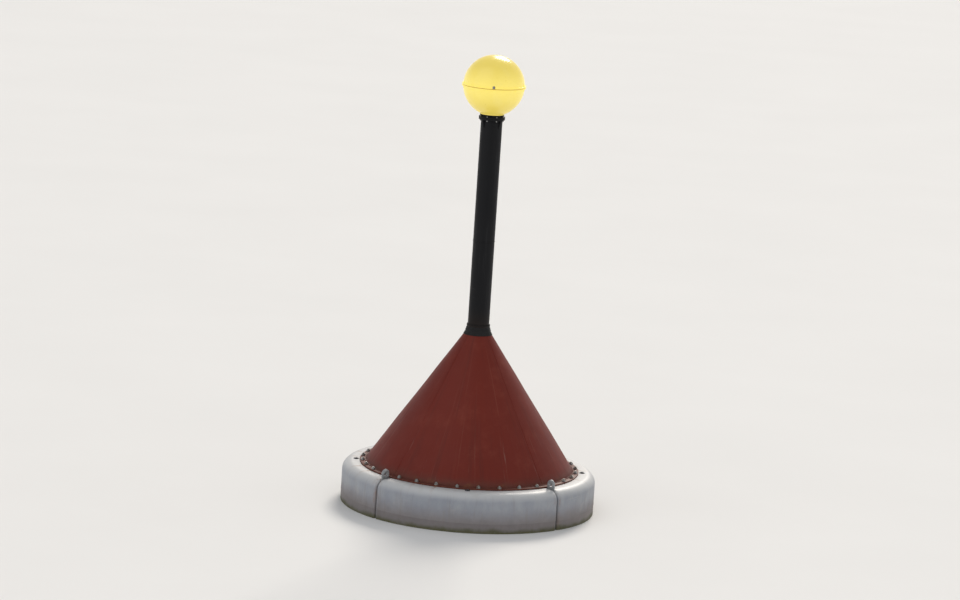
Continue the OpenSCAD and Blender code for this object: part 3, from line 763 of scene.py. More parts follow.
# ------------------------------------------------------------------ tower shell
def tower_shell():
    cols = 240
    za = [CONE_Z0, 312.0, DOOR_Z0]
    zb = [DOOR_Z0 + (DOOR_Z1 - DOOR_Z0) * k / 20 for k in range(1, 21)]
    zc = [DOOR_Z1 + (CONE_Z1 - DOOR_Z1) * k / 16 for k in range(1, 17)]
    zs = za + zb + zc
    i0, i1 = zs.index(DOOR_Z0), zs.index(DOOR_Z1)
    j0, j1 = 44, 76

    def dent(th, z):
        g = noise.noise((math.cos(th) * 1.9, math.sin(th) * 1.9, z * 0.0042)) * 1.7
        g += noise.noise((math.cos(th) * 5.1 + 7, math.sin(th) * 5.1, z * 0.009)) * 0.5
        mask = min(1, (z - CONE_Z0) / 80) * min(1, max(0, (CONE_Z1 - z) / 120))
        dth = abs((math.degrees(th) - 90 + 180) % 360 - 180)
        arc = max(0.0, (dth - DOOR_A) / 10) if DOOR_Z0 - 30 < z < DOOR_Z1 + 30 else 1.0
        return g * mask * min(1.0, arc)

    verts = []
    for t in (0.0, -PLATE):
        for z in zs:
            for j in range(cols):
                th = math.radians(1.5 * j)
                r = cone_r(z, t + dent(th, z))
                verts.append((r * math.cos(th), r * math.sin(th), z))
    n, layer = len(zs), len(zs) * cols

    def vid(l, i, j):
        return l * layer + i * cols + j % cols

    faces = []
    for i in range(n - 1):
        for j in range(cols):
            if i0 <= i < i1 and j0 <= j < j1:
                continue
            faces.append((vid(0, i, j), vid(0, i, j + 1), vid(0, i + 1, j + 1), vid(0, i + 1, j)))
            faces.append((vid(1, i, j), vid(1, i + 1, j), vid(1, i + 1, j + 1), vid(1, i, j + 1)))
    for j in range(cols):
        faces.append((vid(0, 0, j), vid(1, 0, j), vid(1, 0, j + 1), vid(0, 0, j + 1)))
        faces.append((vid(0, n - 1, j), vid(0, n - 1, j + 1), vid(1, n - 1, j + 1), vid(1, n - 1, j)))
    for i in range(i0, i1):
        for j in (j0, j1):
            faces.append((vid(0, i, j), vid(0, i + 1, j), vid(1, i + 1, j), vid(1, i, j)))
    for j in range(j0, j1):
        for i in (i0, i1):
            faces.append((vid(0, i, j), vid(0, i, j + 1), vid(1, i, j + 1), vid(1, i, j)))
    b = Buf().add(verts, faces)
    return b.obj("tower_shell", M_TOWER, "hull", "tower", "tower_cone", angle=30, bevel=(1.0, 2, 50))


tower_shell()

b = Buf()
revolve(b, fillet([(CONE_R - 40, DECK), (CONE_R + 33, DECK), (CONE_R + 33, DECK + 10), (CONE_R - 40, DECK + 10)], 1.6, 3), 200, loop=True)
b.obj("tower_base_ring", M_TOWER, "hull", "tower", "tower_flange", angle=35)

b = Buf()
weld(b, ring_path(cone_r(CONE_Z0) + 1.0, CONE_Z0 + 1.2, 240), 4.2, closed=True, pitch=7.0, seed=1.0)
for i, phi in enumerate((45, 135, 225, 315)):
    path = []
    for s in range(60):
        z = CONE_Z0 + 3 + (CONE_Z1 - CONE_Z0 - 6) * s / 59
        r = cone_r(z, -0.6)
        path.append((r * math.cos(math.radians(phi)), r * math.sin(math.radians(phi)), z))
    weld(b, path, 2.9, pitch=7.0, seed=5.0 + i)
b.obj("tower_weld_beads", M_TOWER, "hull", "tower", angle=60)

b = Buf()
for i in range(32):
    a = 360.0 * i / 32 + 5.625
    m = R(a, "Z") @ T(759.0, 0, DECK + 10)
    hex_bolt(b, m, af=24, head=10, washer_r=14.5, washer_t=3, stud=7, stud_r=7.6, turn=17.0 * i)
b.obj("tower_flange_bolts", M_STEEL, "hull", angle=35)


# ------------------------------------------------------------------ door, with its pressed panel and hinges
def door_half(z, t, side):
    """Half angle, in radians, of the sector moved out by side, at radius cone_r(z, t)."""
    return math.radians(DOOR_A) + math.asin(side / cone_r(z, t))


def cone_patch(buf, z0, z1, side, t_out, t_in, rows, cols, raise_fn=None, mat=0):
    verts = []
    for t in (t_out, t_in):
        for i in range(rows + 1):
            z = z0 + (z1 - z0) * i / rows
            for j in range(cols + 1):
                u = -1 + 2 * j / cols
                lift = raise_fn(u, z) if raise_fn else 0.0
                r = cone_r(z, t + lift)
                a = math.pi / 2 + u * (math.radians(DOOR_A) + math.asin(side / cone_r(z, t)))
                verts.append((r * math.cos(a), r * math.sin(a), z))
    layer, c = (rows + 1) * (cols + 1), cols + 1
    faces = []
    for i in range(rows):
        for j in range(cols):
            q = (i * c + j, i * c + j + 1, (i + 1) * c + j + 1, (i + 1) * c + j)
            faces.append(q)
            faces.append(tuple(layer + v for v in q[::-1]))
    for j in range(cols):
        for i in (0, rows):
            faces.append((i * c + j, i * c + j + 1, layer + i * c + j + 1, layer + i * c + j))
    for i in range(rows):
        for j in (0, cols):
            faces.append((i * c + j, (i + 1) * c + j, layer + (i + 1) * c + j, layer + i * c + j))
    return buf.add(verts, faces, mat)


def panel_lift(u, z):
    r = cone_r(z)
    edge = min((1 - abs(u)) * r * math.radians(DOOR_A), (z - 346.0) / COS, (832.0 - z) / COS)
    x = max(0.0, min(1.0, (edge - 78.0) / 16.0))
    return 3.5 * x * x * (3 - 2 * x)


b = Buf()
cone_patch(b, 346.0, 832.0, -6.0, 0.0, -PLATE, 90, 90, panel_lift)
b.obj("tower_door_panel", M_TOWER, "door", "tower", "tower_door", angle=40, bevel=(1.2, 2, 55))

# two T-section stiffeners inside the door
b = Buf()
for z in (505.0, 665.0):
    cone_patch(b, z, z + 5.0, -95.0, -5.5, -24.0, 1, 40)
    cone_patch(b, z - 9.0, z + 14.0, -95.0, -20.0, -24.0, 1, 40)
b.obj("tower_door_stiffeners", M_TOWER, "door", "tower", angle=30, bevel=(0.8, 2, 50))


def seal_path(side, t):
    """Closed line round the opening, at the distance side inside its edge and the depth t."""
    pts, n = [], 40
    z0, z1 = DOOR_Z0 + side, DOOR_Z1 - side

    def at(u, z):
        a = math.pi / 2 + u * (math.radians(DOOR_A) - math.asin(side / cone_r(z, t)))
        return (cone_r(z, t) * math.cos(a), cone_r(z, t) * math.sin(a), z)

    pts += [at(-1 + 2 * k / n, z0) for k in range(n)]
    pts += [at(1, z0 + (z1 - z0) * k / n) for k in range(n)]
    pts += [at(1 - 2 * k / n, z1) for k in range(n)]
    pts += [at(-1, z1 - (z1 - z0) * k / n) for k in range(n)]
    return pts


b = Buf()
for side in (9.6, 14.2):
    sweep(b, seal_path(side, -8.9), 2.35, 10, closed=True)
b.obj("tower_door_seal", M_RUBBER, "hull", "rubber", angle=60)


def rounded_rect(x0, y0, x1, y1, r, seg=6):
    return fillet([(x0, y0), (x1, y0), (x1, y1), (x0, y1)], r, seg)


def drum(buf, r, length, f=1.0, mat=0, matrix=None, n=28, bore=0.0):
    """A short cylinder along z, centred, with rounded ends and an optional bore."""
    h = length / 2
    if bore:
        return revolve(buf, fillet([(bore, -h), (r, -h), (r, h), (bore, h)], f, 3), n, mat, matrix, loop=True)
    outer = fillet([(0, -h), (r, -h), (r, h), (0, h)], [0, f, f, 0], 3)
    return revolve(buf, outer, n, mat, matrix)


# hinges: leaf plates, knuckles, pins and their bolts
for name, body, side, spans, bolt_mat in (("door_hinge_brackets", "hull", 1, ((-50, -18), (18, 50)), 1),
                                          ("door_hinge_leaves", "door", -1, ((-17, 17),), 1)):
    b = Buf()
    for z in (430.0, 730.0):
        m = on_cone(90 + DOOR_A, z)
        v, f = plate_mesh(rounded_rect(12, -50, 50, 50, 7), [], 9.0, 1.2, 2)
        flip = Matrix.Scale(-1, 4, (1, 0, 0)) if side < 0 else Matrix.Identity(4)
        b.add(v, [q[::side] for q in f], 0, m @ flip @ T(0, 0, 2.0))
        for y0, y1 in spans:
            box(b, *((0.0, y0 + 0.6, 1.5, 14.0, y1 - 0.6, 6.4) if side > 0 else (-14.0, y0 + 0.6, 1.5, 0.0, y1 - 0.6, 6.4)), matrix=m)
            drum(b, 9.5, y1 - y0, 1.2, 0, m @ T(0, (y0 + y1) / 2, 11) @ R(90, "X"), bore=0.0 if side > 0 else 4.4)
            weld(b, [(side * 3, y0 + 1, 2.4), (side * 12, y0 + 1, 6.2)], 1.6, pitch=3, matrix=m)
        if side > 0:
            drum(b, 4.0, 108, 0.8, 1, m @ T(0, 0, 11) @ R(90, "X"))
            for y in (-53.5, 53.5):
                drum(b, 6.8, 5.0, 1.4, 1, m @ T(0, y, 11) @ R(90, "X"))
        for y in (-31.0, 31.0):
            hex_bolt(b, m @ T(side * 31, y, 6.4), af=13, head=6, washer_r=8.6, washer_t=1.6, mat=1, turn=20 + y)
    b.obj(name + "_formed", [M_TOWER, M_STEEL], body, "tower", name, angle=35)

# turn handles: boss, grip and the pawl inside
b = Buf()
for z in (450.0, 720.0):
    m = on_cone(90 - DOOR_A, z, 48)
    revolve(b, [(0, -2), (19, -2), (19, 3.5), (18, 5.2), (15.5, 6.2), (11.5, 7.2), (10.2, 9), (10, 14.5), (0, 14.5)], 36, 0, m)
    grip = fillet([(-8, -13), (-6.6, -39), (6.6, -39), (8, -13), (10.5, 0), (8, 13), (6.6, 39), (-6.6, 39), (-8, 13), (-10.5, 0)],
                  [3, 6.4, 6.4, 3, 6, 3, 6.4, 6.4, 3, 6], 6)
    v, f = plate_mesh(grip, [], 9.0, 2.6, 3)
    b.add(v, f, 0, m @ T(0, 0, 18.5))
    hex_bolt(b, m @ T(0, 0, 22.4), af=11, head=4.2, washer_r=7.4, washer_t=1.2, mat=1, turn=12)
    drum(b, 8.0, 32, 0.8, 1, m @ T(0, 0, -14))
    drum(b, 13.0, 9, 1.0, 1, m @ T(0, 0, -13.0))
    v, f = plate_mesh(rounded_rect(-9, -58, 9, 14, 8), [], 6.0, 1.0, 2)
    b.add(v, f, 1, m @ T(0, 0, -29))
    hex_bolt(b, m @ T(0, 0, -32) @ R(180, "X"), af=13, head=6, washer_r=9, washer_t=1.6, mat=1)
b.obj("door_turn_handles", [M_BLACK, M_GALV_DRY], "door", "black", "door_handles", angle=35)

# ------------------------------------------------------------------ deck fittings
b = Buf()
for a in (45, 135, 225, 315):
    m = R(a, "Z") @ R(90, "X")
    hz = DECK + 32
    arch = [(820 - 34, DECK - 2), (820 + 34, DECK - 2)] + [
        (820 + 34 * math.cos(math.pi * k / 30), hz + 34 * math.sin(math.pi * k / 30)) for k in range(31)]
    v, f = plate_mesh(arch, [circle_pts(15.0, 44, 820, hz)], 8.0, 1.2, 2)
    b.add(v, f, 0, m)
    for s in (-1, 1):
        v, f = plate_mesh(circle_pts(29, 60, 820, hz), [circle_pts(15.0, 44, 820, hz)], 6.0, 1.6, 2)
        b.add(v, f, 0, m @ T(0, 0, s * 7.0))
        bead = [(820 + 30 * math.cos(2 * math.pi * k / 60), hz + 30 * math.sin(2 * math.pi * k / 60), s * 4.4) for k in range(60)]
        weld(b, bead, 1.9, closed=True, pitch=4, seed=a + s, matrix=m)
b.obj("lifting_eyes", M_GALV, "hull", "galvanised", "lifting_lugs", angle=40)

b = Buf()
for a in (0, 90, 180, 270):
    m = R(a, "Z") @ T(803.5, 0, DECK)
    revolve(b, [(0, -0.5), (19, -0.5), (19, 2.4), (17.8, 3.6), (15.6, 3.6), (15.2, 2.6), (13.8, 2.6), (13.4, 5.4), (12.6, 6.2), (0, 6.2)], 36, 0, m)
    box(b, -10.0, -2.6, 5.8, 10.0, 2.6, 9.4, matrix=m @ R(35 + a * 0.3, "Z"))
b.obj("float_vent_plugs", M_BATTERY, "hull", "float", angle=35, bevel=(0.5, 2, 50))

# ------------------------------------------------------------------ mast
b = Buf()
revolve(b, fillet([(MAST_R - 5, 306), (MAST_R, 306), (MAST_R, MAST_TOP), (MAST_R - 5, MAST_TOP)], 0.8, 2), 128, loop=True)
weld(b, ring_path(MAST_R + 0.7, 1905.0, 150), 1.9, closed=True, pitch=4.5, seed=2.2)
weld(b, ring_path(MAST_R + 1.1, MAST_TOP - 1.8, 150), 3.0, closed=True, pitch=4.5, seed=3.2)
for a in (45, 135, 225, 315):
    m = R(a, "Z") @ R(90, "X")
    v, f = plate_mesh([(MAST_R - 0.9, MAST_TOP), (MAST_R - 0.9, MAST_TOP - 56), (MAST_R + 3, MAST_TOP - 56), (HEAD_R - 2, MAST_TOP - 10),
                       (HEAD_R - 2, MAST_TOP)], [], 7.0, 0.8, 2)
    b.add(v, f, 0, m)
    for s in (-1, 1):
        weld(b, [(MAST_R + 0.5, MAST_TOP - 55, s * 4.0), (MAST_R + 0.5, MAST_TOP - 1, s * 4.0)], 1.9, pitch=4, seed=a + s, matrix=m)
m = R(90, "Z") @ T(MAST_R - 1.5, 0, MAST_TOP - 110) @ R(90, "Y")
revolve(b, [(0, 0), (13, 0), (13, 5), (12, 6.5), (7.5, 6.5), (7.5, 13), (6.5, 14), (0, 14)], 28, 0, m)
b.obj("mast_pole", M_BLACK, "hull", "black", "mast_tube", angle=40)

b = Buf()
v, f = plate_mesh(circle_pts(160, 120), [circle_pts(60, 80)], 16.0, 1.8, 2)
b.add(v, f, 0, T(0, 0, 298))
for a in (45, 135, 225, 315):
    m = R(a, "Z") @ R(90, "X")
    v, f = plate_mesh(fillet([(MAST_R - 1, 306), (150, 306), (150, 321), (MAST_R + 12, 436), (MAST_R - 1, 436)], [0, 0, 4, 6, 0], 4), [], 10.0, 1.0, 2)
    b.add(v, f, 0, m)
    for s in (-1, 1):
        weld(b, [(MAST_R + 0.9, 435, s * 5.6), (MAST_R + 0.9, 307.5, s * 5.6), (149, 307.5, s * 5.6)], 2.6, pitch=5, seed=a + s, matrix=m)
weld(b, ring_path(MAST_R + 1.9, 307.8, 150), 3.4, closed=True, pitch=5, seed=8.1)
for k in range(8):
    hex_bolt(b, R(22.5 + 45 * k, "Z") @ T(132, 0, 306), af=30, head=14, washer_r=18.5, washer_t=3.5, stud=12, stud_r=9.6, mat=1, turn=23 * k)
b.obj("mast_foot_welded", [M_BLACK, M_STEEL], "hull", "black", "mast_foot", angle=38)

b = Buf()
v, f = plate_mesh(circle_pts(HEAD_R, 110), [circle_pts(45, 70)], 12.0, 1.4, 2)
b.add(v, f, 0, T(0, 0, MAST_TOP + 6))
b.obj("mast_head_plate", M_BLACK, "hull", "black", "mast_head", angle=38)

# rubber collar at the top of the tower: a riveted skirt, two folds and a banded neck
b = Buf()
z1 = CONE_Z1
prof = [(cone_r(z1 - 17, 0.3), z1 - 17.4), (cone_r(z1 - 17, 1.5), z1 - 18.2), (cone_r(z1 - 17, 3.0), z1 - 17.2), (cone_r(z1 - 16, 3.5), z1 - 16)]
prof += [(cone_r(z1 - 4, 3.5), z1 - 4), (cone_r(z1, 3.3), z1 - 0.5), (CONE_TOP_R + 3.4, z1 + 2.5), (CONE_TOP_R + 3, z1 + 5), (CONE_TOP_R + 3, z1 + 9)]
for i in range(37):
    t = i / 36
    prof.append((CONE_TOP_R + 3 - (CONE_TOP_R - MAST_R - 2.3) * t + 2.1 * math.sin(4 * math.pi * t) * (1 - 0.3 * t), z1 + 10 + 28 * t))
prof += [(MAST_R + dr, z1 + dz) for dr, dz in ((4.9, 39.5), (4.9, 50.5), (5.7, 51.4), (5.9, 52.6), (5.1, 54), (1.5, 54), (0.2, 53.2), (0.2, 1.0))]
prof += [(cone_r(z1, 0.3), z1 + 0.6)]
revolve(b, prof, 144, loop=True)
band_r = MAST_R + 6.5
revolve(b, fillet([(band_r - 1.8, z1 + 40), (band_r, z1 + 40), (band_r, z1 + 50), (band_r - 1.8, z1 + 50)], 0.5, 2), 144, 1, loop=True)
for k in range(12):
    pan_screw(b, on_cone(15 + 30 * k, z1 - 9, n=3.3), r=4.6, h=2.2, mat=1)
m = R(118, "Z") @ T(band_r, 0, z1 + 45)
v, f = plate_mesh(rounded_rect(-7.5, -6.5, 7.5, 6.5, 2.4), [], 7.0, 0.9, 2)
b.add(v, f, 1, m @ T(2.6, 0, 0) @ R(90, "Y") @ R(90, "Z"))
hex_bolt(b, m @ T(4.6, 7.0, 0) @ R(-90, "X"), af=8, head=6, washer_r=4.8, washer_t=1.0, mat=1, turn=11)
v, f = plate_mesh(rounded_rect(-14, -4.4, 14, 4.4, 1.0), [], 1.0, 0.3, 1)
b.add(v, f, 1, m @ T(0.6, -13, 0) @ R(90, "Y") @ R(90, "Z"))
b.obj("tower_top_collar", [M_RUBBER, M_BLACK], "hull", "rubber", "tower_collar", angle=38)

# ------------------------------------------------------------------ lantern
ZL = MAST_TOP + 12
b = Buf()
revolve(b, fillet([(30, ZL), (HEAD_R, ZL), (HEAD_R, ZL + 10), (80.5, ZL + 10.8), (80.5, ZL + 18), (86, ZL + 23), (86, ZL + 26), (78, ZL + 26),
                   (78, ZL + 42), (87, ZL + 42), (87, ZL + 52), (30, ZL + 52)], [0, 1.5, 2, 1.5, 1.5, 1.2, 0.8, 0.5, 0.5, 1, 1, 0], 3), 120, loop=True)
for k in range(8):
    m = R(22.5 + 45 * k, "Z")
    hex_bolt(b, m @ T(86.4, 0, ZL + 10.3), af=8.5, head=4.5, washer_r=5.2, washer_t=1, mat=1, turn=31 * k)
    hex_bolt(b, m @ T(85.6, 0, ZL - 12) @ R(180, "X"), af=8.5, head=5, washer_r=5.6, washer_t=1.2, stud=4, stud_r=2.6, mat=1, turn=19 * k)
for k in range(6):
    pan_screw(b, R(60 * k, "Z") @ T(79, 0, ZL + 52), 3.6, 2.2, 1)
b.obj("lantern_base_cast", [M_BLACK, M_STEEL], "hull", "black", "lantern_base", angle=38)


def ripple(z):
    """Moulded rings of the lens, in millimetres, round the globe's middle."""
    d = abs(z - FOCAL)
    return 0.9 * (0.5 - 0.5 * math.cos(2 * math.pi * (d - 14) / 11.0)) * max(0.0, min(1.0, (96 - d) / 20)) if 14 < d < 96 else 0.0


def sphere_arc(radius, z0, z1, n, rings=False):
    pts = []
    for k in range(n + 1):
        z = z0 + (z1 - z0) * k / n
        r = math.sqrt(max(radius * radius - (z - FOCAL) ** 2, 0.0))
        if rings:
            q = 1 + ripple(z) / radius
            pts.append((r * q, FOCAL + (z - FOCAL) * q))
        else:
            pts.append((r, z))
    return pts


def polar_arc(radius, a0, a1, n):
    return [(radius * math.cos(math.radians(a0 + (a1 - a0) * k / n)), FOCAL + radius * math.sin(math.radians(a0 + (a1 - a0) * k / n)))
            for k in range(n + 1)]


TOP_B, BOT_D = FOCAL - 2.5, FOCAL + 2.5
hole = math.degrees(math.acos(85 / GLOBE_R))
a96 = math.degrees(math.asin(96 / GLOBE_R))
a10 = math.degrees(math.asin(10.5 / GLOBE_R))

b = Buf()
prof = [(80, ZL + 26), (84.2, ZL + 26), (85, ZL + 26.8)] + polar_arc(GLOBE_R, -hole, -a96, 14)
prof += sphere_arc(GLOBE_R, FOCAL - 95, TOP_B - 8, 60, True)[1:]
prof += fillet([(214.0, TOP_B - 8), (225, TOP_B - 8), (225, TOP_B), (204, TOP_B), (204, TOP_B + 9), (198, TOP_B + 9), (198, FOCAL - 18), (209.2, FOCAL - 18)],
               [0, 2.2, 2.2, 0.8, 1.2, 1.2, 0, 0], 4, closed=False)[1:]
prof += polar_arc(210.0, -5.2, -math.degrees(math.acos(85 / 210.0)), 22) + [(85, ZL + 42), (80, ZL + 42)]
revolve(b, prof, 144, 0, loop=True)
for k in range(12):
    m = R(15 + 30 * k, "Z") @ R(90, "X")
    v, f = plate_mesh([(212.6, TOP_B - 7.5), (223.2, TOP_B - 7.5), (222.0, TOP_B - 11), (213.6, TOP_B - 26), (211.5, TOP_B - 26)], [], 4.4, 0.7, 1)
    b.add(v, f, 0, m)
for x in (-25.0, 25.0):
    v, f = plate_mesh(rounded_rect(x - 9, 216, x + 9, 238, 2), [], 8.0, 0.9, 2)
    b.add(v, f, 0, T(0, 0, TOP_B - 4))
    drum(b, 9.0, 18, 1.0, 0, T(x, 238, FOCAL) @ R(90, "Y"))
drum(b, 3.5, 76, 0.6, 1, T(0, 238, FOCAL) @ R(90, "Y"))
for x in (-37.0, 37.0):
    drum(b, 6.0, 4.4, 1.2, 1, T(x, 238, FOCAL) @ R(90, "Y"))
v, f = plate_mesh(rounded_rect(-12, -234, 12, -220, 3), [], 11.0, 1.4, 2)
b.add(v, f, 0, T(0, 0, TOP_B - 5.5))
b.obj("lantern_bowl_moulded", [M_GLOBE, M_STEEL], "hull", "globe", "lantern_bowl", angle=40)

b = Buf()
revolve(b, fillet([(206.5, TOP_B - 0.5), (217, TOP_B - 0.5), (217, BOT_D - 0.3), (206.5, BOT_D - 0.3)], 1.2, 3), 144, loop=True)
b.obj("lantern_seal", M_SEAL, "hull", "rubber", angle=40)

b = Buf()
prof = fillet([(209.9, BOT_D), (225, BOT_D), (225, BOT_D + 8), (214.0, BOT_D + 8)], [0, 2.2, 2.2, 0], 4, closed=False)
prof += sphere_arc(GLOBE_R, BOT_D + 8, FOCAL + 95, 60, True)[1:]
prof += polar_arc(GLOBE_R, a96, 90, 26)[1:-1] + [(0, FOCAL + GLOBE_R)]
prof += [(0, FOCAL + 210.0)] + polar_arc(210.0, 90, 1.5, 30)[1:]
revolve(b, prof, 144, 0, loop=True)
for k in range(12):
    m = R(15 + 30 * k, "Z") @ R(90, "X")
    v, f = plate_mesh([(212.6, BOT_D + 7.5), (223.2, BOT_D + 7.5), (222.0, BOT_D + 11), (213.6, BOT_D + 26), (211.5, BOT_D + 26)], [], 4.4, 0.7, 1)
    b.add(v, f, 0, m)
v, f = plate_mesh(rounded_rect(-15, 216, 15, 234, 1.2), [], 8.0, 0.9, 2)
b.add(v, f, 0, T(0, 0, BOT_D + 4))
drum(b, 9.0, 30, 1.0, 0, T(0, 238, FOCAL) @ R(90, "Y"), bore=3.8)
b.obj("lantern_dome_moulded", M_GLOBE, "dome", "globe", "lantern_dome", angle=40)

# over-centre catch on the dome's front edge
b = Buf()
m = T(0, -225, 0)
v, f = plate_mesh(rounded_rect(-9, BOT_D + 0.6, 9, BOT_D + 19, 2), [], 2.4, 0.5, 2)
b.add(v, f, 0, T(0, -226.4, 0) @ R(90, "X"))
for x in (-7.6, 7.6):
    v, f = plate_mesh(fillet([(-225, BOT_D + 1.5), (-225, BOT_D + 16), (-232.5, BOT_D + 12.5), (-232.5, BOT_D + 4)], [0, 2, 3, 3], 4), [], 1.8, 0.4, 1)
    b.add(v, f, 0, T(x, 0, 0) @ R(90, "Z") @ R(90, "X"))
drum(b, 2.2, 19, 0.5, 0, T(0, -231, BOT_D + 8.5) @ R(90, "Y"))
v, f = plate_mesh(fillet([(-6, 0), (6, 0), (5, 16), (2.5, 20), (-2.5, 20), (-5, 16)], [1, 1, 2, 2, 2, 2], 3), [], 1.8, 0.5, 1)
b.add(v, f, 0, T(0, -233.4, BOT_D + 3) @ R(86, "X"))
b.obj("lantern_catch", M_STEEL, "dome", "black", "lantern_clip", angle=38)

b = Buf()
revolve(b, fillet([(0, ZL + 52), (70, ZL + 52), (70, ZL + 60), (33, ZL + 60), (32, ZL + 152), (58, ZL + 152), (58, ZL + 162), (0, ZL + 162)],
                  [0, 1.2, 1.5, 4, 4, 1.2, 1.2, 0], 3), 80)
for k in range(18):
    m = R(20 * k, "Z") @ R(90, "X")
    v, f = plate_mesh(fillet([(30, ZL + 66), (46, ZL + 72), (55, ZL + 148), (30, ZL + 148)], [0, 4, 3, 0], 3), [], 2.6, 0.5, 1)
    b.add(v, f, 0, m)
for k in range(4):
    hex_bolt(b, R(45 + 90 * k, "Z") @ T(60, 0, ZL + 60), af=10, head=5, washer_r=7, washer_t=1.2, mat=1, turn=11 * k)
b.obj("lamp_stand_finned", [M_ALU, M_STEEL], "hull", "galvanised", "lamp_stand", angle=38)

b = Buf()
prof = [(0, ZL + 162), (47, ZL + 162)]
for i in range(4):
    for k in range(12):
        t = k / 12.0
        bulge = 46 + 8 * (1 - abs(2 * t - 1)) + 0.7 * math.sin(2 * math.pi * 4 * t)
        prof.append((bulge, ZL + 162 + 24 * (i + t)))
prof += [(46, ZL + 258), (40, ZL + 259.5), (40, ZL + 266), (38, ZL + 268), (0, ZL + 268)]
revolve(b, prof, 96)
b.obj("lamp_lens_rings", M_LAMP, "hull", "lamp", "lamp_head", angle=45)

# ------------------------------------------------------------------ inside the tower
b = Buf()
v, f = plate_mesh(circle_pts(420, 160), [circle_pts(60, 80)], 10.0, 1.4, 2)
b.add(v, f, 0, T(0, 0, DECK + 5))
for k in range(12):
    hex_bolt(b, R(15 + 30 * k, "Z") @ T(396, 0, DECK + 10), af=24, head=10, washer_r=15, washer_t=3, stud=6, stud_r=7.6, mat=1, turn=13 * k)
b.obj("deck_plate_drilled", [M_GALV_DRY, M_STEEL], "hull", "galvanised", "deck_plate", angle=38)


def battery(side):
    b = Buf()
    c = T(side * 265, 0, 290)
    body = rounded_rect(-85, -193, 85, 193, 14)
    v, f = plate_mesh(body, [], 203.0, 3.0, 3)
    b.add(v, f, 0, c @ T(0, 0, 101.5))
    for y in range(-160, 161, 40):
        for x in (-86.0, 86.0):
            box(b, x - 2, y - 4, 10, x + 2, y + 4, 196, matrix=c)
    for x in (-55, 0, 55):
        for y in (-194.0, 194.0):
            box(b, x - 4, y - 2, 10, x + 4, y + 2, 196, matrix=c)
    v, f = plate_mesh(rounded_rect(-92, -200, 92, 200, 18), [], 25.0, 4.0, 3)
    b.add(v, f, 0, c @ T(0, 0, 217.5))
    v, f = plate_mesh(rounded_rect(-70, -92, 70, 92, 10), [], 6.0, 2.0, 2)
    b.add(v, f, 0, c @ T(0, 0, 230.0))
    for y in (-165.0, 165.0):
        drum(b, 15, 8, 2.0, 0, c @ T(0, y, 231))
    for y in (-125.0, 125.0):
        v, f = plate_mesh(rounded_rect(-118, y - 16, 118, y + 16, 3), [], 5.0, 0.8, 2)
        b.add(v, f, 1, c @ T(0, 0, 233.0))
        for x in (-105.0, 105.0):
            drum(b, 5.0, 262, 0.8, 1, c @ T(x, y, 130))
            hex_bolt(b, c @ T(x, y, 235.5), af=17, head=8, washer_r=11, washer_t=2, mat=1, turn=x + y)
            hex_bolt(b, c @ T(x, y, 0), af=17, head=8, washer_r=11, washer_t=2, mat=1, turn=x)
    # rigid conduit from the box to the mast
    path = [(-side * 88, 0, 150), (-side * 100, 0, 150)]
    path += [(-side * (100 + 14 * math.sin(math.radians(t))), 0, 164 - 14 * math.cos(math.radians(t))) for t in range(15, 91, 15)]
    path += [(-side * 114, 0, 262)]
    path += [(-side * (134 - 20 * math.cos(math.radians(t))), 0, 262 + 20 * math.sin(math.radians(t))) for t in range(15, 91, 15)]
    path += [(-side * 187.5, 0, 282)]
    sweep(b, path, 10.0, 16, mat=0, matrix=c)
    for x, z in ((92, 150), (185.5, 282)):
        drum(b, 15, 12, 1.5, 0, c @ T(-side * x, 0, z) @ R(90, "Y"))
    for z in (196, 240):
        drum(b, 12.5, 10, 1.2, 0, c @ T(-side * 114, 0, z))
    return b


for name, side in (("battery_box_left", -1), ("battery_box_right", 1)):
    battery(side).obj(name + "_ribbed", [M_BATTERY, M_GALV_DRY], "hull", "battery", name, angle=38)

# ------------------------------------------------------------------ below the water
b = Buf()
revolve(b, fillet([(101.55, TAIL), (CORE_R, TAIL), (CORE_R, DECK), (101.55, DECK)], 0.8, 2), 110, loop=True)
for z, seed in ((-413.5, 1.0), (-770.0, 2.0), (TAIL + 1.5, 3.0)):
    weld(b, ring_path(CORE_R + 1.0, z, 150), 3.2, closed=True, pitch=6, seed=seed)
b.obj("core_and_tail_tube", M_GALV, "hull", "galvanised", "core_tube", angle=40)

b = Buf()
fin = fillet([(CORE_R, 8 - DRAFT), (BOTTOM_R - 3, 8 - DRAFT), (FLOAT_R - 15, -CHINE), (FLOAT_R - 15, DECK - RIM), (860, DECK - 25), (854, DECK - 25),
              (854, DECK - 2), (CORE_R, DECK - 2)], [0, 25, 30, 20, 4, 2, 3, 0], 5)
for a in (45, 135, 225, 315):
    v, f = plate_mesh(fin, [], 8.0, 1.0, 2)
    b.add(v, f, 0, R(a, "Z") @ R(90, "X"))
b.obj("seam_fins", M_GALV, "hull", "galvanised", "radial_fins", angle=40)

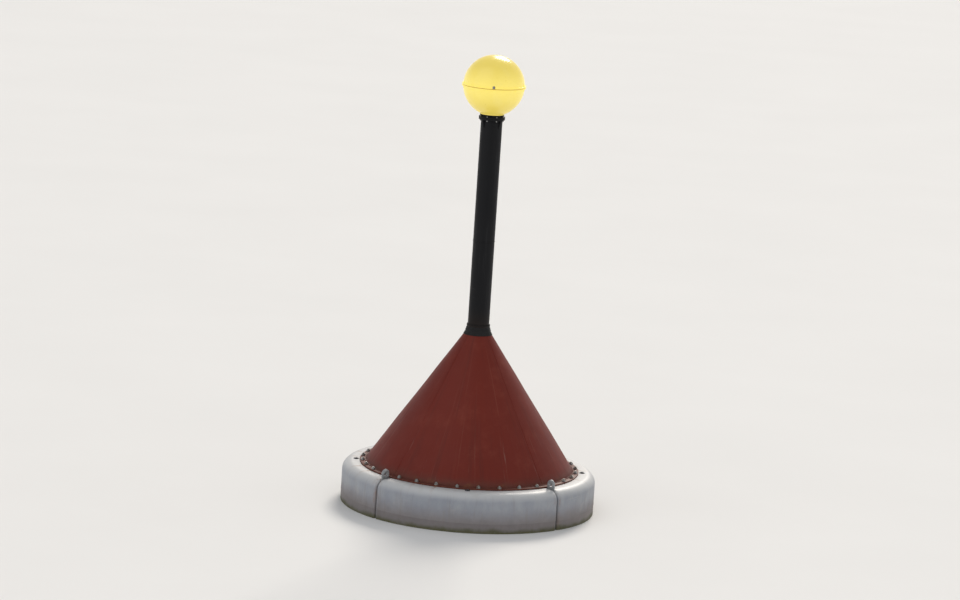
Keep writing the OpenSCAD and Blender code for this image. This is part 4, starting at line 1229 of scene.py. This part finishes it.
b = Buf()
v, f = plate_mesh(circle_pts(350, 150), [circle_pts(CORE_R + 0.6, 90)], 12.0, 1.6, 2)
b.add(v, f, 0, T(0, 0, -DRAFT - 6))
for a in (0, 90, 180, 270):
    m = R(a, "Z") @ R(90, "X")
    v, f = plate_mesh(fillet([(CORE_R - 0.5, -412), (310, -412), (310, -432), (CORE_R + 30, -582), (CORE_R - 0.5, -582)], [0, 0, 6, 8, 0], 4), [], 10.0, 1.0, 2)
    b.add(v, f, 0, m)
    for s in (-1, 1):
        weld(b, [(309, -413.5, s * 5.6), (CORE_R + 2, -413.5, s * 5.6), (CORE_R + 1, -581, s * 5.6)], 3.0, pitch=6, seed=a + s, matrix=m)
for k in range(12):
    hex_bolt(b, R(15 + 30 * k, "Z") @ T(322, 0, -DRAFT - 12) @ R(180, "X"), af=24, head=12, washer_r=16, washer_t=3, stud=10, stud_r=7.6, mat=1, turn=29 * k)
b.obj("float_clamp_plate", [M_GALV, M_GALV], "hull", "galvanised", "bottom_clamp", angle=38)

b = Buf()
for i in range(4):
    z0 = TAIL + 50 * i
    revolve(b, fillet([(CORE_R + 0.6, z0 + 0.3), (228, z0 + 0.3), (240, z0 + 7), (240, z0 + 43), (228, z0 + 49.7), (CORE_R + 0.6, z0 + 49.7)],
                      [0, 4, 5, 5, 4, 0], 4), 128, loop=True)
for k in range(4):
    m = R(45 + 90 * k, "Z")
    hex_bolt(b, m @ T(207, 0, TAIL + 200), af=36, head=18, washer_r=24, washer_t=4, stud=14, stud_r=11.6, mat=1, turn=17 * k)
    hex_bolt(b, m @ T(207, 0, TAIL) @ R(180, "X"), af=36, head=18, washer_r=24, washer_t=4, stud=12, stud_r=11.6, mat=1, turn=31 * k)
b.obj("counterweight_discs", [M_CAST, M_GALV], "hull", "cast", "counterweight", angle=38)

b = Buf()
revolve(b, fillet([(CORE_R + 0.3, TAIL + 200), (175, TAIL + 200), (175, TAIL + 216), (CORE_R + 12, TAIL + 216), (CORE_R + 10, TAIL + 260), (CORE_R + 0.3, TAIL + 260)],
                  [0, 2, 2, 5, 2, 0], 4), 110, loop=True)
for k in range(6):
    hex_bolt(b, R(30 + 60 * k, "Z") @ T(CORE_R + 10, 0, TAIL + 240) @ R(90, "Y"), af=19, head=11, washer_r=1, washer_t=0.5, mat=0, turn=12 * k)
    hex_bolt(b, R(60 * k, "Z") @ T(150, 0, TAIL + 216), af=24, head=12, washer_r=16, washer_t=3, mat=0, turn=7 * k)
b.obj("weight_clamp_collar", M_GALV, "hull", "galvanised", "weight_collar", angle=38)


def lump(buf, size, corner, amp, matrix, n=14, seed=0.0, mat=0):
    """A box with rounded edges whose surface has been eaten away unevenly."""
    hx, hy, hz = (v / 2 for v in size)
    div = [max(4, int(v / 11)) for v in size]
    idx, verts, faces = {}, [], []

    def vid(p):
        key = tuple(round(c, 3) for c in p)
        if key not in idx:
            q = Vector(p)
            core = Vector((max(-hx + corner, min(hx - corner, q.x)), max(-hy + corner, min(hy - corner, q.y)),
                           max(-hz + corner, min(hz - corner, q.z))))
            d = q - core
            q = core + (d.normalized() * corner if d.length > 1e-6 else d)
            g = noise.noise(q * 0.035 + Vector((seed, 0, 0))) * amp + noise.noise(q * 0.11 + Vector((0, seed, 0))) * amp * 0.5
            q -= (q - Vector((0, 0, q.z * 0.9))).normalized() * (abs(g) + 0.4)
            idx[key] = len(verts)
            verts.append(tuple(q))
        return idx[key]

    for ax in range(3):
        u, w = [(1, 2), (2, 0), (0, 1)][ax]
        h = (hx, hy, hz)
        for s in (-1, 1):
            for i in range(div[u]):
                for j in range(div[w]):
                    quad = []
                    for di, dj in ((0, 0), (1, 0), (1, 1), (0, 1)):
                        p = [0.0, 0.0, 0.0]
                        p[ax] = s * h[ax]
                        p[u] = -h[u] + 2 * h[u] * (i + di) / div[u]
                        p[w] = -h[w] + 2 * h[w] * (j + dj) / div[w]
                        quad.append(vid(p))
                    faces.append(tuple(quad[::s]))
    return buf.add(verts, faces, mat, matrix)


b = Buf()
for i, a in enumerate((45, 225)):
    m = R(a, "Z") @ T(CORE_R, 0, TAIL + 500)
    lump(b, (42, 64, 300), 13, 3.4, m @ T(39, 0, 0), seed=3.0 + 5 * i)
    v, f = plate_mesh(rounded_rect(-15, -210, 15, 210, 3), [], 6.0, 0.8, 2)
    b.add(v, f, 1, m @ T(17, 0, 0) @ R(90, "Y") @ R(90, "Z"))
    for s in (-1, 1):
        box(b, -0.8, -15, s * 200 - 10, 14.5, 15, s * 200 + 10, 1, m)
        hex_bolt(b, m @ T(20, 0, s * 200) @ R(90, "Y"), af=17, head=9, washer_r=12, washer_t=2, mat=1, turn=s * 10)
b.obj("anode_blocks", [M_ANODE, M_GALV], "hull", "anode", "anodes", angle=45)

b = Buf()
revolve(b, fillet([(0, TAIL - 20), (175, TAIL - 20), (175, TAIL - 0.2), (0, TAIL - 0.2)], [0, 2.5, 2.5, 0], 4), 110)
lobe = [(-75, TAIL - 18), (-75, TAIL - 60), (-55, TAIL - 60)]
lobe += [(55 * math.cos(math.radians(t)), EYE_Z + 55 * math.sin(math.radians(t))) for t in range(180, 361, 6)]
lobe += [(55, TAIL - 60), (75, TAIL - 60), (75, TAIL - 18)]
lobe = fillet(lobe, [0, 12, 14] + [0] * 31 + [14, 12, 0], 6)
v, f = plate_mesh(lobe, [circle_pts(20, 48, 0, EYE_Z)], 36.0, 3.5, 3)
b.add(v, f, 0, R(90, "X"))
for s in (-1, 1):
    weld(b, [(-74, s * 19.5, TAIL - 21.5), (74, s * 19.5, TAIL - 21.5)], 4.6, pitch=7, seed=s)
    weld(b, [(s * 76.5, -18, TAIL - 21.5), (s * 76.5, 18, TAIL - 21.5)], 4.6, pitch=7, seed=s + 4)
b.obj("mooring_eye_plate", M_GALV, "hull", "galvanised", "mooring_eye", angle=40)

b = Buf()
for s in (-1, 1):
    revolve(b, fillet([(20, -17.5), (40, -17.5), (40, 17.5), (20, 17.5)], [2, 9, 9, 2], 6), 64, 0, T(0, s * 46, EYE_Z) @ R(90, "X"), loop=True)
path = [(0, 46 + 8 * t, EYE_Z - 87.5 * t) for t in (0.26, 0.45, 0.7, 0.9)]
path += [(0, 54 * math.cos(math.radians(t)), EYE_Z - 87.5 - 54 * math.sin(math.radians(t))) for t in range(4, 177, 6)]
path += [(0, -46 - 8 * t, EYE_Z - 87.5 * t) for t in (0.9, 0.7, 0.45, 0.26)]
sweep(b, path, 17.5, 32)
b.obj("shackle_bow_forged", M_GALV, "shackle", "galvanised", "shackle_bow", angle=45)

b = Buf()
m = T(0, 0, EYE_Z) @ R(-90, "X")
revolve(b, fillet([(0, -93.5), (26, -93.5), (28, -90), (28, -78), (26, -74.5), (19, -74.5), (19, 95), (17, 97.5), (0, 97.5)],
                  [0, 1.5, 1.5, 1.5, 1.5, 1, 1, 0.5, 0], 3), 48, 0, m)
hexa = [(31 * math.cos(math.pi / 3 * k), 31 * math.sin(math.pi / 3 * k)) for k in range(6)]
v, f = plate_mesh(hexa, [], 18.0, 1.6, 2)
b.add(v, f, 0, m @ T(0, 0, 79.0))
drum(b, 24.0, 3.0, 0.6, 0, m @ T(0, 0, 68.5), n=40)
sweep(b, [(-27, 0, 92), (-20, 0, 92), (20, 0, 92), (26, 4, 93), (30, 9, 94)], 2.2, 10, matrix=m)
sweep(b, [(-27, 0, 92), (-20, 1.5, 92), (20, 1.5, 92), (27, -3, 91.5), (31, -9, 91)], 2.2, 10, matrix=m)
sweep(b, [(-27 - 5 * math.sin(math.radians(t)), 5 * math.cos(math.radians(t)), 92) for t in range(0, 181, 20)], 2.2, 10, matrix=m)
b.obj("shackle_pin_turned", M_GALV, "shackle", "galvanised", "shackle_pin", angle=40)

# the opening's frame keeps its construction mesh, with softened edges
ob = NODES["door_frame"]
ob.data.materials.clear()
ob.data.materials.append(M_TOWER)
weld_mod = ob.modifiers.new("weld", "WELD")
weld_mod.merge_threshold = 0.00005
bev = ob.modifiers.new("bevel", "BEVEL")
bev.width = 0.0008
bev.segments = 2
bev.limit_method = "ANGLE"
bev.angle_limit = math.radians(50)


# ------------------------------------------------------------------ stage: floor, light and camera
def stage():
    fl = bpy.data.meshes.new("floor")
    s = 400.0
    fl.from_pydata([(-s, -s, 0), (s, -s, 0), (s, s, 0), (-s, s, 0)], [], [(0, 1, 2, 3)])
    ob = bpy.data.objects.new("floor", fl)
    bpy.context.scene.collection.objects.link(ob)
    m, nt, k = new_mat("floor_paint")
    a = k.mix(k.noise(0.6, 4, 0.5), (0.74, 0.74, 0.735), (0.78, 0.78, 0.775))
    k.shader(a, 0.85, 0.0, None, Specular_IOR_Level=0.2)
    fl.materials.append(m)

    w = bpy.data.worlds.new("studio")
    bpy.context.scene.world = w
    w.use_nodes = True
    wt = w.node_tree
    bg = wt.nodes["Background"]
    co = wt.nodes.new("ShaderNodeTexCoord")
    up = wt.nodes.new("ShaderNodeSeparateXYZ")
    wt.links.new(co.outputs["Generated"], up.inputs[0])
    pale = wt.nodes.new("ShaderNodeMapRange")
    pale.interpolation_type = "SMOOTHSTEP"
    for at, v in (("From Min", 0.02), ("From Max", 0.42), ("To Min", 0.86), ("To Max", 0.47)):
        pale.inputs[at].default_value = v
    wt.links.new(up.outputs[2], pale.inputs["Value"])
    wt.links.new(pale.outputs["Result"], bg.inputs[1])
    bg.inputs[0].default_value = (0.945, 0.955, 0.975, 1)

    def sun(name, azimuth, elevation, power, angle, color=(1, 1, 1)):
        li = bpy.data.lights.new(name, "SUN")
        li.energy = power
        li.angle = math.radians(angle)
        li.color = color
        o = bpy.data.objects.new(name, li)
        a, e = math.radians(azimuth), math.radians(elevation)
        d = Vector((math.sin(a) * math.cos(e), -math.cos(a) * math.cos(e), math.sin(e)))
        o.rotation_euler = d.to_track_quat("Z", "Y").to_euler()
        bpy.context.scene.collection.objects.link(o)

    sun("back_key", 168, 36, 2.45, 20, (1.0, 0.93, 0.84))
    sun("front_left", -48, 42, 0.50, 60, (0.95, 0.97, 1.0))
    sun("front_right", 62, 28, 0.20, 60, (1.0, 0.98, 0.95))


def camera():
    elev, dist, roll = 10.35, 32.0, 3.75
    cam = bpy.data.cameras.new("camera")
    cam.lens = 170.0
    cam.sensor_width = 36.0
    cam.clip_end = 2000.0
    ob = bpy.data.objects.new("camera", cam)
    aim = Vector((0.0, 0.0, 1.48))
    e = math.radians(elev)
    loc = aim + Vector((0, -math.cos(e), math.sin(e))) * dist
    q = (aim - loc).to_track_quat("-Z", "Y")
    ob.location = loc
    ob.rotation_euler = (q.to_matrix().to_4x4() @ Matrix.Rotation(math.radians(roll), 4, "Z")).to_euler()
    bpy.context.scene.collection.objects.link(ob)
    bpy.context.scene.camera = ob


stage()
camera()
bpy.context.scene.view_settings.view_transform = "Standard"
